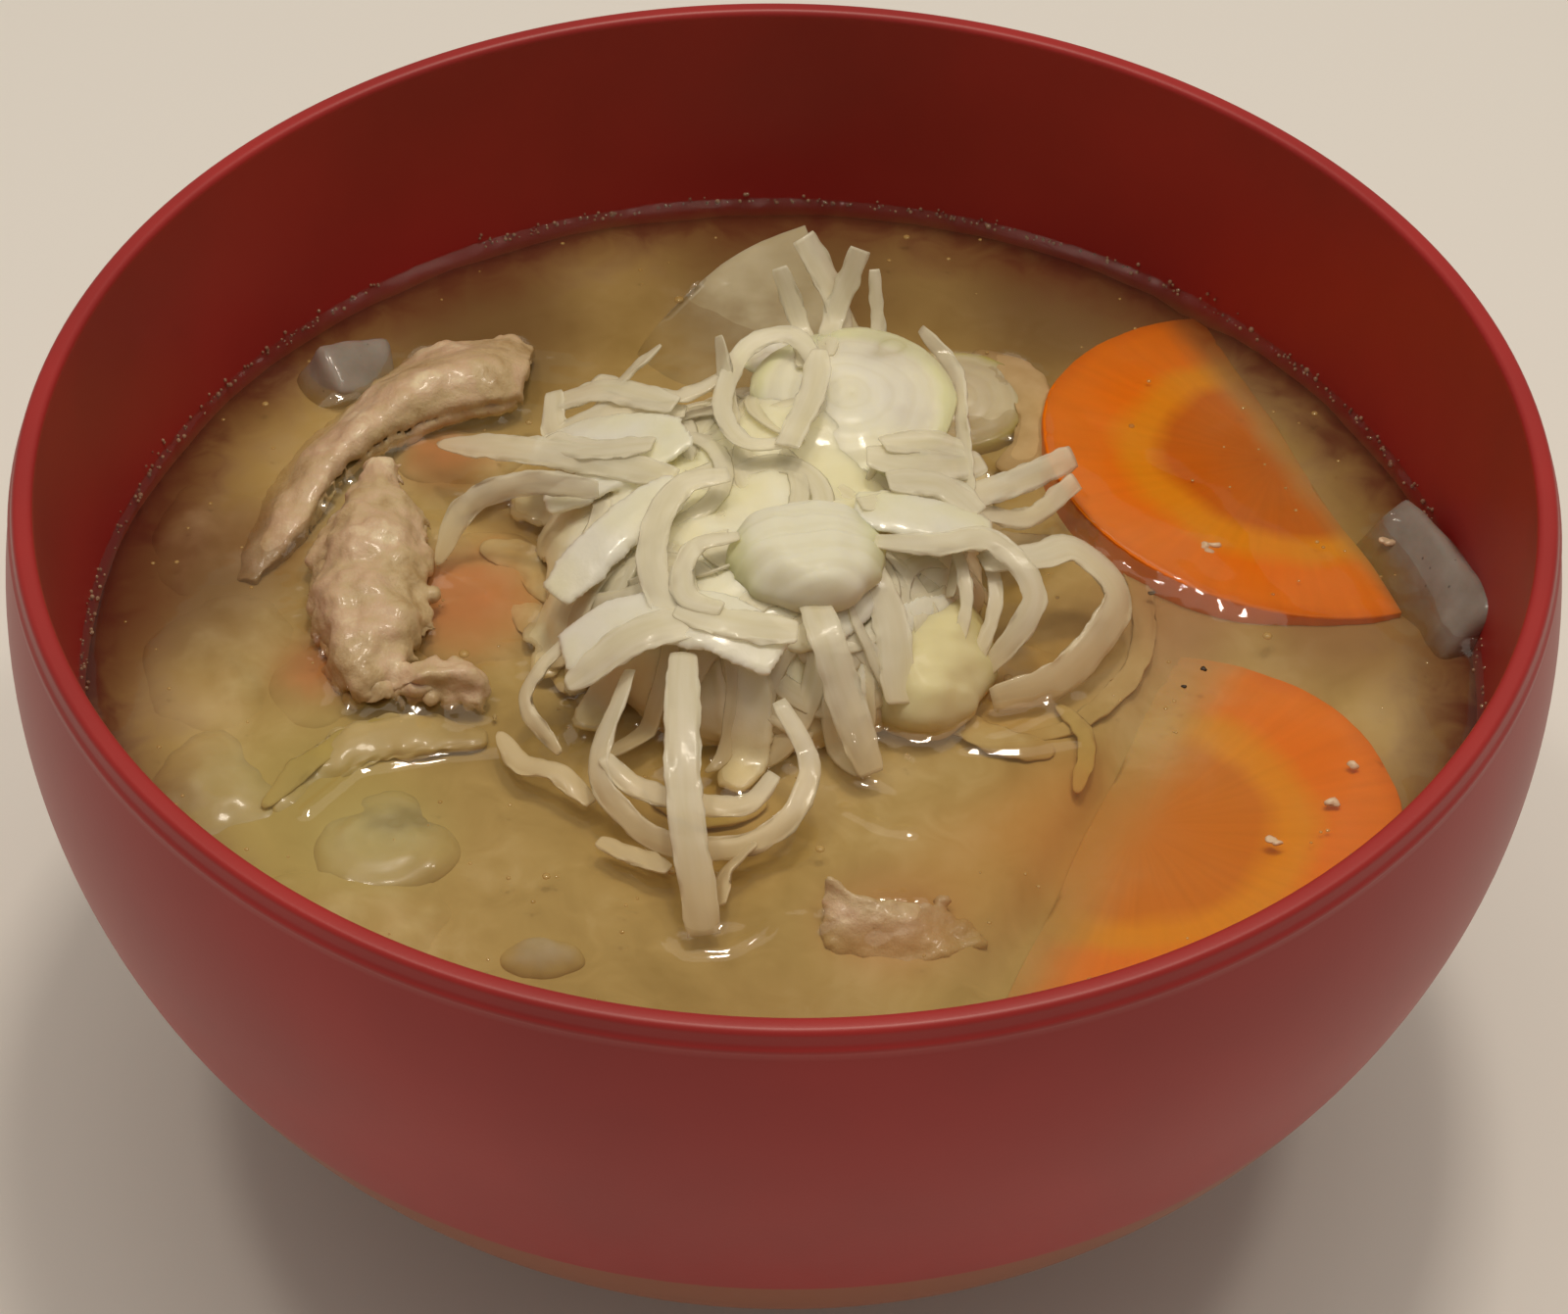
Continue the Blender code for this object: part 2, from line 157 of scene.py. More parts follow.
def bandMesh(points, wide, thick, roll=(0, 0), ends=(0.3, 0.3), steps=24, ring=8, bend=0.0, frill=0.0,
             shift=0.0, square=0.6, facing=None):
    # A grid wrapped round a line as a flat band with rounded edges, welded along its seam and closed at both ends.
    # bend is half the angle that the band's width arches through, in degrees
    line, length = smoothLine(points, steps + 1)
    along, across, away = lineFrames(line, roll, facing)
    bm = bmesh.new()
    uv = bm.loops.layers.uv.new("UVMap")
    bmesh.ops.create_grid(bm, x_segments=steps, y_segments=ring, size=1.0, calc_uvs=True)
    place = np.linspace(0, 1, steps + 1)
    taper = np.minimum(1, ends[0] + (1 - ends[0]) * np.sqrt(np.clip(place / 0.22, 0, 1)))
    taper = taper * np.minimum(1, ends[1] + (1 - ends[1]) * np.sqrt(np.clip((1 - place) / 0.22, 0, 1)))
    for vert in bm.verts:
        i = round((vert.co.x + 1) / 2 * steps)
        turn = (vert.co.y + 1) * math.pi
        c, s = math.cos(turn), math.sin(turn)
        flat = math.copysign(abs(c) ** square, c) * wide / 2 * taper[i]
        deep = math.copysign(abs(s) ** square, s) * thick / 2 * (0.35 + 0.65 * taper[i])
        if frill:
            edge = (abs(flat) / (wide / 2)) ** 3
            flat += math.copysign(frill, c) * edge * noise.noise((i * length / steps * 0.8 + shift, c * 3, 0.0))
            deep += frill * 1.6 * edge * noise.noise((i * length / steps * 0.55 + shift, c * 5, 7.0))
        if bend:
            radius = wide / 2 / math.radians(bend)
            angle = flat / radius
            flat = (radius + deep) * math.sin(angle)
            deep = (radius + deep) * math.cos(angle) - radius
        vert.co = Vector(line[i] + across[i] * flat + away[i] * deep)
    for face in bm.faces:
        for loop in face.loops:
            u, v = loop[uv].uv
            loop[uv].uv = (u * length + shift, v * 2 * wide + shift * 0.37)
    bmesh.ops.remove_doubles(bm, verts=bm.verts, dist=0.001)
    bmesh.ops.holes_fill(bm, edges=[e for e in bm.edges if e.is_boundary], sides=0)
    return bm


def sheetMesh(rows, steps, ring, thick, frill=0.0, shift=0.0):
    # A grid drawn over rows of points that run across a sheet, given its thickness. frill tears and ruffles its
    # long edges
    spread = [smoothLine(row, ring + 1)[0] for row in rows]
    columns = [smoothLine([row[k] for row in spread], steps + 1)[0] for k in range(ring + 1)]
    bm = bmesh.new()
    bmesh.ops.create_grid(bm, x_segments=steps, y_segments=ring, size=1.0)
    for vert in bm.verts:
        i, k = round((vert.co.x + 1) / 2 * steps), round((vert.co.y + 1) / 2 * ring)
        place = columns[k][i]
        if frill:
            edge = abs(2 * k / ring - 1) ** 4
            outward = place - columns[ring // 2][i]
            outward /= np.linalg.norm(outward) + 1e-6
            tear = noise.noise((place[0] * 0.9 + shift, place[1] * 0.9, k * 0.1))
            tear += 0.5 * noise.noise((place[0] * 2.3 + shift, place[1] * 2.3, k * 0.1))
            place = place + outward * frill * edge * tear
            place[2] += frill * edge * noise.noise((place[0] * 1.3, place[1] * 1.3 + shift, 4.0))
        vert.co = Vector(place)
    bmesh.ops.solidify(bm, geom=bm.faces[:], thickness=thick)
    bmesh.ops.recalc_face_normals(bm, faces=bm.faces)
    return bm


def scatterCopies(bm, shape, places):
    # Copies one small closed mesh to many places, each a centre and half sizes
    for centre, half in places:
        mesh = shape.copy()
        mesh.transform(Matrix.Translation(centre) @ Matrix.Diagonal((*half, 1)))
        bm.from_mesh(mesh)
        bpy.data.meshes.remove(mesh)


def beadShape(segments, rings):
    bm = bmesh.new()
    bmesh.ops.create_uvsphere(bm, u_segments=segments, v_segments=rings, radius=1.0)
    mesh = bpy.data.meshes.new("bead")
    bm.to_mesh(mesh)
    bm.free()
    return mesh


def roughen(bm, layers, verts=None, seed=0.0):
    # Moves points along their normals by noise; each layer is a size and a depth
    bm.normal_update()
    moves = []
    for vert in verts or bm.verts:
        move = 0.0
        for size, depth in layers:
            place = vert.co / size + Vector((seed, seed * 0.7, -seed))
            move += depth * noise.noise(place)
        moves.append((vert, vert.normal * move))
    for vert, move in moves:
        vert.co += move


def slopeMatrix(centre, yaw, slope):
    # The top face passes through centre and rises by slope for each millimetre in X and Y
    normal = Vector((-slope[0], -slope[1], 1.0)).normalized()
    tilt = Vector((0.0, 0.0, 1.0)).rotation_difference(normal).to_matrix().to_4x4()
    return Matrix.Translation(centre) @ tilt @ Matrix.Rotation(math.radians(yaw), 4, "Z")


# Where something sunk colours the broth: centre, reach and colour, with the share that it takes. The dark browns at the
# back and on the left are painted shade and painted reflection of the red wall, not anything sunk
brothStainsAndShade = (
    ((-27.0, 3.0), 9.0, "#c97d46", 0.75), ((-37.5, -5.0), 5.5, "#bb7646", 0.65), ((-44.0, 10.0), 7.0, "#a0744a", 0.5),
    ((-29.5, 20.5), 5.5, "#a9713a", 0.75), ((17.0, -6.0), 8.0, "#cc9a46", 0.5), ((-6.0, -21.0), 12.0, "#c29a48", 0.5),
    ((-38.0, -21.0), 15.0, "#c4b66a", 0.55), ((9.0, -31.0), 8.0, "#c98c5a", 0.45), ((17.0, -25.0), 10.0, "#cf9244", 0.35),
    ((25.0, -20.0), 11.0, "#d0852c", 0.5), ((36.5, -23.0), 9.0, "#db7c12", 0.8), ((41.0, -14.0), 7.0, "#db7c12", 0.7),
    ((31.0, -31.5), 8.0, "#db7c12", 0.7), ((33.0, 19.0), 9.5, "#de720a", 0.9), ((40.0, 9.5), 7.0, "#de720a", 0.8),
    ((31.5, 29.5), 7.0, "#de720a", 0.8),
    # Painted shade and painted reflection of the red wall: the dark browns at (0, 46), (-28, 40), (25, 44) and (-53, 6)
    ((33.0, 4.0), 8.0, "#a87850", 0.65), ((0.0, 46.0), 19.0, "#6a4a2b", 0.8), ((-28.0, 40.0), 17.0, "#6a4a2b", 0.8),
    ((25.0, 44.0), 17.0, "#654529", 0.8), ((-53.0, 6.0), 17.0, "#74502e", 0.85), ((-22.0, 12.0), 7.0, "#d3a566", 0.4),
    ((-31.0, -24.0), 7.0, "#cfc483", 0.45), ((46.0, 2.0), 9.0, "#946640", 0.65), ((1.0, -44.0), 12.0, "#a58449", 0.4),
    ((28.0, 0.0), 12.0, "#b08450", 0.4))


def brothClouds(tree, share=1.0):
    # Suspended paste drifts in soft clouds; stains mark what lies under it, and some are painted shade. Beside the wall
    # the broth thins and turns dark red: painted reflection of the red wall, and the wall showing through
    place = addNode(tree, "ShaderNodeTexCoord").outputs["Object"]
    parts = addNode(tree, "ShaderNodeSeparateXYZ", links={0: place})
    flat = addNode(tree, "ShaderNodeCombineXYZ", links={0: parts.outputs["X"], 1: parts.outputs["Y"]}).outputs[0]
    broad = addNode(tree, "ShaderNodeTexNoise", {"Scale": 1 / (20 * mm), "Detail": 4.0, "Distortion": 0.7},
                    {"Vector": flat})
    fine = addNode(tree, "ShaderNodeTexNoise", {"Scale": 1 / (4 * mm), "Detail": 4.0, "Distortion": 0.8},
                   {"Vector": flat})
    both = addNode(tree, "ShaderNodeMix", {0: 0.35}, {2: broad.outputs["Fac"], 3: fine.outputs["Fac"]})
    colour = addNode(tree, "ShaderNodeValToRGB", {"stops": brothTones}, {0: both.outputs[0]}).outputs[0]
    for (x, y), reach, code, strength in brothStainsAndShade:
        away = addNode(tree, "ShaderNodeVectorMath", {"operation": "DISTANCE", 1: (x * mm, y * mm, 0)}, {0: flat})
        near = addNode(tree, "ShaderNodeMapRange", {"interpolation_type": "SMOOTHERSTEP", 1: 1.15 * reach * mm,
                       2: 0.1 * reach * mm, 3: 0.0, 4: strength * share}, {0: away.outputs["Value"]})
        colour = addNode(tree, "ShaderNodeMix", {"data_type": "RGBA", 7: srgb(code)},
                         {0: near.outputs[0], 6: colour}).outputs[2]
    radius = addNode(tree, "ShaderNodeVectorMath", {"operation": "LENGTH"}, {0: flat}).outputs["Value"]
    sway = addNode(tree, "ShaderNodeMapRange", {3: -3.5 * mm, 4: 3.5 * mm}, {0: fine.outputs["Fac"]})
    reach = addNode(tree, "ShaderNodeMath", {"operation": "ADD"}, {0: radius, 1: sway.outputs[0]})
    # Painted reflection of the red wall, with the wall showing through the thin broth: dark red-brown from 47 mm out,
    # darkest red at the wall itself
    rim = addNode(tree, "ShaderNodeMapRange", {"interpolation_type": "SMOOTHSTEP", 1: 47.0 * mm, 2: 57.0 * mm,
                  3: 0.0, 4: 0.9 * share}, {0: reach.outputs[0]})
    thin = addNode(tree, "ShaderNodeMix", {"data_type": "RGBA", 7: srgb("#6c371d")}, {0: rim.outputs[0], 6: colour})
    last = addNode(tree, "ShaderNodeMapRange", {"interpolation_type": "SMOOTHSTEP", 1: 54.0 * mm, 2: 57.5 * mm,
                   3: 0.0, 4: 0.85 * share}, {0: reach.outputs[0]})
    return addNode(tree, "ShaderNodeMix", {"data_type": "RGBA", 7: srgb("#5c2016")},
                   {0: last.outputs[0], 6: thin.outputs[2]}).outputs[2]


def fadeIntoBroth(tree, colour, clear, cloudy, start=0.0):
    # Below the soup's level a food's colour fades into the broth: from clear to cloudy millimetres down
    place = addNode(tree, "ShaderNodeTexCoord").outputs["Object"]
    height = addNode(tree, "ShaderNodeSeparateXYZ", links={0: place}).outputs["Z"]
    drift = addNode(tree, "ShaderNodeTexNoise", {"Scale": 1 / (4.0 * mm), "Detail": 3.0}, {"Vector": place})
    sway = addNode(tree, "ShaderNodeMapRange", {3: -0.9 * mm, 4: 0.9 * mm}, {0: drift.outputs["Fac"]})
    level = addNode(tree, "ShaderNodeMath", {"operation": "ADD"}, {0: height, 1: sway.outputs[0]})
    depth = addNode(tree, "ShaderNodeMapRange", {"interpolation_type": "SMOOTHSTEP", 1: (soupLevel - clear) * mm,
                    2: (soupLevel - cloudy) * mm, 3: start, 4: 1.0}, {0: level.outputs[0]})
    return addNode(tree, "ShaderNodeMix", {"data_type": "RGBA"},
                   {0: depth.outputs[0], 6: colour, 7: brothClouds(tree)}).outputs[2]


# --- bowl ---
bowlShape = {"innerRadius": 58.5, "innerLevel": 64.0, "innerDrop": 55.0, "innerPower": 2.5,
             "bellyLevel": 54.8, "outerDrop": 55.0, "rimRound": 0.55, "footRadius": 27.5, "footWidth": 3.0,
             "footHeight": 6.2, "recessLevel": 5.0, "ridge": 0.14, "ridgeLevel": 66.4, "turnSteps": 240}
bowlColours = {"wall": "#ae2926", "shade": "#9e2522", "roughness": 0.4}


def innerRadiusAt(level):
    if level >= bowlShape["innerLevel"]:
        return bowlShape["innerRadius"]
    drop = (bowlShape["innerLevel"] - level) / bowlShape["innerDrop"]
    return bowlShape["innerRadius"] * max(0.0, 1 - drop ** bowlShape["innerPower"]) ** (1 / bowlShape["innerPower"])


def innerWallLine(steps, top):
    # From the middle of the floor out and up to the level top
    line = []
    for i in range(steps + 1):
        angle = math.pi / 2 * (1 - i / steps)
        radius = bowlShape["innerRadius"] * math.cos(angle) ** (2 / bowlShape["innerPower"])
        level = bowlShape["innerLevel"] - bowlShape["innerDrop"] * math.sin(angle) ** (2 / bowlShape["innerPower"])
        if level < top:
            line.append((max(radius, 0.0), level))
    line[0] = (0.0, line[0][1])
    return line


def outerRadiusAt(level):
    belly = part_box("bowl")[1].x / mm
    return belly * math.sqrt(max(0.0, 1 - ((bowlShape["bellyLevel"] - level) / bowlShape["outerDrop"]) ** 2))


def spinLine(line, steps):
    # Turns a line of (radius, level) points round the bowl's axis into a closed skin
    bm = bmesh.new()
    verts = [bm.verts.new((radius, 0.0, level)) for radius, level in line]
    edges = [bm.edges.new(pair) for pair in zip(verts, verts[1:])]
    bmesh.ops.spin(bm, geom=verts + edges, cent=(0, 0, 0), axis=(0, 0, 1), dvec=(0, 0, 0),
                   angle=math.tau, steps=steps, use_merge=True, use_duplicate=False)
    bmesh.ops.remove_doubles(bm, verts=bm.verts, dist=0.002)
    bmesh.ops.recalc_face_normals(bm, faces=bm.faces)
    return bm


def bowlMaterial():
    # Moulded plastic sprayed with satin urethane lacquer: an even deep red with a broad soft sheen
    material, tree, shader = newMaterial("satin red urethane lacquer on moulded plastic", {
        "Roughness": bowlColours["roughness"], "IOR": 1.5, "Specular IOR Level": 0.5})
    place = addNode(tree, "ShaderNodeTexCoord").outputs["Object"]
    parts = addNode(tree, "ShaderNodeSeparateXYZ", links={0: place})
    clouds = addNode(tree, "ShaderNodeTexNoise", {"Scale": 1 / (22 * mm), "Detail": 3.0}, {"Vector": place})
    red = addNode(tree, "ShaderNodeValToRGB", {"stops": [(0.3, bowlColours["shade"]), (0.7, bowlColours["wall"])]},
                  {0: clouds.outputs["Fac"]})
    # On the inside below the soup's level the wall is seen through cloudy broth
    flat = addNode(tree, "ShaderNodeCombineXYZ", links={0: parts.outputs["X"], 1: parts.outputs["Y"]})
    radius = addNode(tree, "ShaderNodeVectorMath", {"operation": "LENGTH"}, {0: flat.outputs[0]})
    inside = addNode(tree, "ShaderNodeMath", {"operation": "LESS_THAN", 1: 58.3 * mm}, {0: radius.outputs["Value"]})
    depth = addNode(tree, "ShaderNodeMapRange", {"interpolation_type": "SMOOTHSTEP", 1: (soupLevel - 0.2) * mm,
                    2: (soupLevel - 2.0) * mm, 3: 0.0, 4: 0.6}, {0: parts.outputs["Z"]})
    wet = addNode(tree, "ShaderNodeMath", {"operation": "MULTIPLY"}, {0: depth.outputs[0], 1: inside.outputs[0]})
    colour = addNode(tree, "ShaderNodeMix", {"data_type": "RGBA", 7: srgb("#8e6a42")},
                     {0: wet.outputs[0], 6: red.outputs[0]})
    tree.links.new(colour.outputs[2], shader.inputs["Base Color"])
    # The lacquer's fine spray texture is about 0.1 mm; drawn at 0.35 mm so that it shows at all
    spray = addNode(tree, "ShaderNodeTexNoise", {"Scale": 1 / (0.35 * mm), "Detail": 2.0}, {"Vector": place})
    bump = addNode(tree, "ShaderNodeBump", {"Strength": 0.12, "Distance": 0.05 * mm}, {"Height": spray.outputs["Fac"]})
    tree.links.new(bump.outputs[0], shader.inputs["Normal"])
    return material


def buildBowl():
    shape = bowlShape
    line = innerWallLine(46, shape["innerLevel"] - 0.3)
    line += [(shape["innerRadius"], level) for level in (64.0, 65.3, 66.6, 67.2)]
    for i in range(6):  # inner edge of the lip
        angle = math.pi / 2 * i / 5
        line.append((shape["innerRadius"] + shape["rimRound"] * (1 - math.cos(angle)),
                     rimLevel - shape["rimRound"] * (1 - math.sin(angle))))
    outer = outerRadiusAt(rimLevel - shape["rimRound"])
    for i in range(6):  # outer edge of the lip
        angle = math.pi / 2 * i / 5
        line.append((outer - shape["rimRound"] * (1 - math.sin(angle)),
                     rimLevel - shape["rimRound"] * (1 - math.cos(angle))))
    for level, proud in ((67.0, 0.0), (66.75, 0.0), (66.6, 0.7), (66.4, 1.0), (66.2, 0.7), (66.05, 0.0), (65.6, 0.0)):
        line.append((outerRadiusAt(level) + proud * shape["ridge"], level))
    top = math.asin((65.2 - shape["bellyLevel"]) / shape["outerDrop"])
    bottom = math.asin((shape["footHeight"] - shape["bellyLevel"]) / shape["outerDrop"])
    for i in range(49):
        angle = top + (bottom - top) * i / 48
        line.append((outerRadiusAt(shape["bellyLevel"]) * math.cos(angle),
                     shape["bellyLevel"] + shape["outerDrop"] * math.sin(angle)))
    foot = shape["footRadius"]
    line += [(foot + 0.9, 5.4), (foot + 0.35, 4.6), (foot + 0.15, 3.0), (foot + 0.05, 0.7), (foot - 0.2, 0.2),
             (foot - 0.6, 0.0), (foot - shape["footWidth"] + 0.4, 0.0), (foot - shape["footWidth"], 0.3),
             (foot - shape["footWidth"] - 0.3, 2.6), (foot - shape["footWidth"] - 0.9, 4.6),
             (foot - shape["footWidth"] - 1.8, shape["recessLevel"]), (12.0, shape["recessLevel"]),
             (0.0, shape["recessLevel"])]
    makePiece("lacqueredBowl", spinLine(line, shape["turnSteps"]), bowlMaterial(), ["bowl"])


# --- broth ---
brothLook = {"floorLevel": 46.1, "floorWaves": 0.3, "cell": 0.36, "alpha": 0.2, "rise": 0.85, "reach": 1.4,
             "wallRise": 0.45, "wallReach": 0.42}

brothRidges = (  # lines where something just under the surface lifts it, with their height
    (((14.5, -13.7), (19.1, -13.6), (23.8, -12.4)), 0.5), (((14.5, -9.3), (16.8, -12.2), (22.8, -8.7)), 0.5),
    (((5.2, -20.4), (8.1, -22.4), (10.5, -22.8)), 0.4), (((-37.1, -22.1), (-33.4, -17.2), (-26.9, -15.4),
    (-21.9, -14.7)), 0.55), (((-8.3, -34.0), (-6.8, -35.6), (-3.5, -35.3), (-0.9, -33.3), (0.3, -30.8)), 0.55),
    (((-35.3, 19.9), (-29.0, 23.0), (-23.4, 25.5)), 0.45), (((-43.1, 8.6), (-39.0, 10.2)), 0.4),
    (((-26.8, -11.5), (-24.2, -9.8)), 0.4))


def brothMaterial():
    # Cloudy miso broth below the surface: suspended paste in soft clouds, lighter where it has settled thickest
    material, tree, shader = newMaterial("cloudy settled miso broth", {"Roughness": 0.8, "Specular IOR Level": 0.1})
    tree.links.new(brothClouds(tree), shader.inputs["Base Color"])
    return material


def belowCarrots(x, y, level):
    # The cloudy part of the broth sinks away softly from over the two carrot slices
    for side in ("back", "front"):
        shape = carrotShape[side]
        dx, dy = x - shape["centre"][0], y - shape["centre"][1]
        yaw = math.radians(shape["yaw"])
        inside = min(shape["radius"] + 2.5 - math.hypot(dx, dy),
                     shape["cut"][1] + 2.5 - dx * math.cos(yaw) - dy * math.sin(yaw))
        if inside > 0:
            under = min(level, shape["centre"][2] + dx * shape["slope"][0] + dy * shape["slope"][1] - 0.7)
            level += (under - level) * min(1.0, inside / 2.5)
    return level


def buildBrothBody():
    # The cloudy depth of the soup, its top in low soft swells; its side reaches a little into the wall
    floor = brothLook["floorLevel"]
    wall = [(radius + 0.3, level) for radius, level in innerWallLine(40, floor - 0.6)]
    wall[0] = (0.0, wall[0][1] + 0.2)
    edge = innerRadiusAt(floor) + 0.3
    line = wall + [(edge, floor)] + [(edge * (1 - i / 44), floor) for i in range(1, 45)]
    bm = spinLine(line, 120)
    for vert in bm.verts:
        if vert.co.z > floor - 0.01:
            wave = noise.noise(vert.co / 7.0) + 0.5 * noise.noise(vert.co / 3.0)
            vert.co.z = belowCarrots(vert.co.x, vert.co.y, vert.co.z + brothLook["floorWaves"] * wave)
    makePiece("brothBody", bm, brothMaterial(), ["soup"])


def surfaceMaterial():
    # The wet top of the soup: a thin cloudy film with a sharp liquid gloss, so what lies just under it shows through.
    # Its thinness takes away most of the reflection, so the IOR is raised until a still surface mirrors 3% as broth does
    material, tree, shader = newMaterial("wet surface of miso broth", {
        "Roughness": 0.06, "IOR": 2.0, "Specular IOR Level": 1.0, "Alpha": brothLook["alpha"]})
    tree.links.new(brothClouds(tree, 0.9), shader.inputs["Base Color"])
    return material


def ridgeHeights(points):
    # How high the ridges lift each of the points (an array of x and y)
    lift = np.zeros(len(points))
    for line, high in brothRidges:
        gap = np.full(len(points), 99.0)
        for a, b in zip(np.array(line[:-1]), np.array(line[1:])):
            along = np.clip(((points - a) @ (b - a)) / ((b - a) @ (b - a)), 0, 1)
            gap = np.minimum(gap, np.linalg.norm(points - a - along[:, None] * (b - a), axis=1))
        lift = np.maximum(lift, 0.75 * high * np.exp(-(gap / 0.45) ** 2))
    return lift


def buildBrothSurface(pieces):
    # A fine grid at the soup's level that climbs the wall and every steep side that stands out of it
    level = soupLevel
    edge = innerRadiusAt(level)
    verts, faces = [], []
    for piece in pieces:
        points = [v.co / mm for v in piece.data.vertices]
        crossing = [p.vertices[:] for p in piece.data.polygons
                    if min(points[i].z for i in p.vertices) < level + 0.25 < max(points[i].z for i in p.vertices) + 0.3]
        used = sorted({i for face in crossing for i in face})
        order = {old: len(verts) + new for new, old in enumerate(used)}
        verts += [points[i] for i in used]
        faces += [[order[i] for i in face] for face in crossing]
    tree = BVHTree.FromPolygons(verts, faces)
    bm = bmesh.new()
    cells = round(2 * (edge + 1.2) / brothLook["cell"])
    bmesh.ops.create_grid(bm, x_segments=cells, y_segments=cells, size=edge + 1.2)
    away = [v for v in bm.verts if math.hypot(v.co.x, v.co.y) > edge + 0.9]
    bmesh.ops.delete(bm, geom=away, context="VERTS")
    slices = [BVHTree.FromPolygons([v.co / mm for v in piece.data.vertices],
                                   [p.vertices[:] for p in piece.data.polygons]) for piece in pieces[:2]]
    ridges = ridgeHeights(np.array([vert.co.xy for vert in bm.verts]))
    for vert, ridge in zip(bm.verts, ridges):
        wall = max(0.0, edge - math.hypot(vert.co.x, vert.co.y))
        broken = 1.0 + 0.5 * noise.noise((vert.co.x / 1.6, vert.co.y / 1.6, 5.0))
        height = brothLook["wallRise"] * (0.6 + 0.4 * broken) * math.exp(-wall / brothLook["wallReach"])
        spot, normal, face, gap = tree.find_nearest(Vector((vert.co.x, vert.co.y, level)), 8.0)
        if spot is not None:
            steep = (1.0 - abs(normal.z)) ** 0.8
            height = max(height, brothLook["rise"] * broken * steep * math.exp(-gap / brothLook["reach"]))
        ripple = 0.06 * noise.noise((vert.co.x / 6, vert.co.y / 6, 0)) + 0.02 * noise.noise(
            (vert.co.x / 1.7, vert.co.y / 1.7, 3))
        vert.co.z = level + max(height, float(ridge) * broken) + ripple
        # Broth lies in a thin film over the carrots too
        for slice in slices:
            top = slice.ray_cast(Vector((vert.co.x, vert.co.y, level + 9)), Vector((0, 0, -1)))[0]
            if top is not None and top.z > level - 0.4:
                vert.co.z = max(vert.co.z, top.z + 0.14)
    for turn in range(2):
        bmesh.ops.smooth_vert(bm, verts=[v for v in bm.verts if not v.is_boundary], factor=0.5, use_axis_z=True)
    makePiece("brothSurface", bm, surfaceMaterial())


# --- root vegetables ---
carrotShape = {"thick": 4.5, "edge": 0.9,
               "back": {"radius": 20.8, "centre": (43.0, 23.5, 46.1), "yaw": 24.8, "slope": (-0.127, -0.059),
                        "cut": (-5.0, 1.9), "clear": 2.4, "cloudy": 4.8, "veil": (3.5, 0.75), "core": "#d26808",
                        "heart": "#c66008"},
               "front": {"radius": 20.6, "centre": (28.5, -19.5, 45.0), "yaw": 154.7, "slope": (0.131, -0.062),
                         "cut": (3.6, 3.75), "clear": 1.9, "cloudy": 5.4, "veil": (7.0, 0.85), "core": "#dc7d12",
                         "heart": "#da7c16"}}
carrotColours = {"flesh": "#f87f02", "edge": "#ec7302", "ring": "#f09a12"}


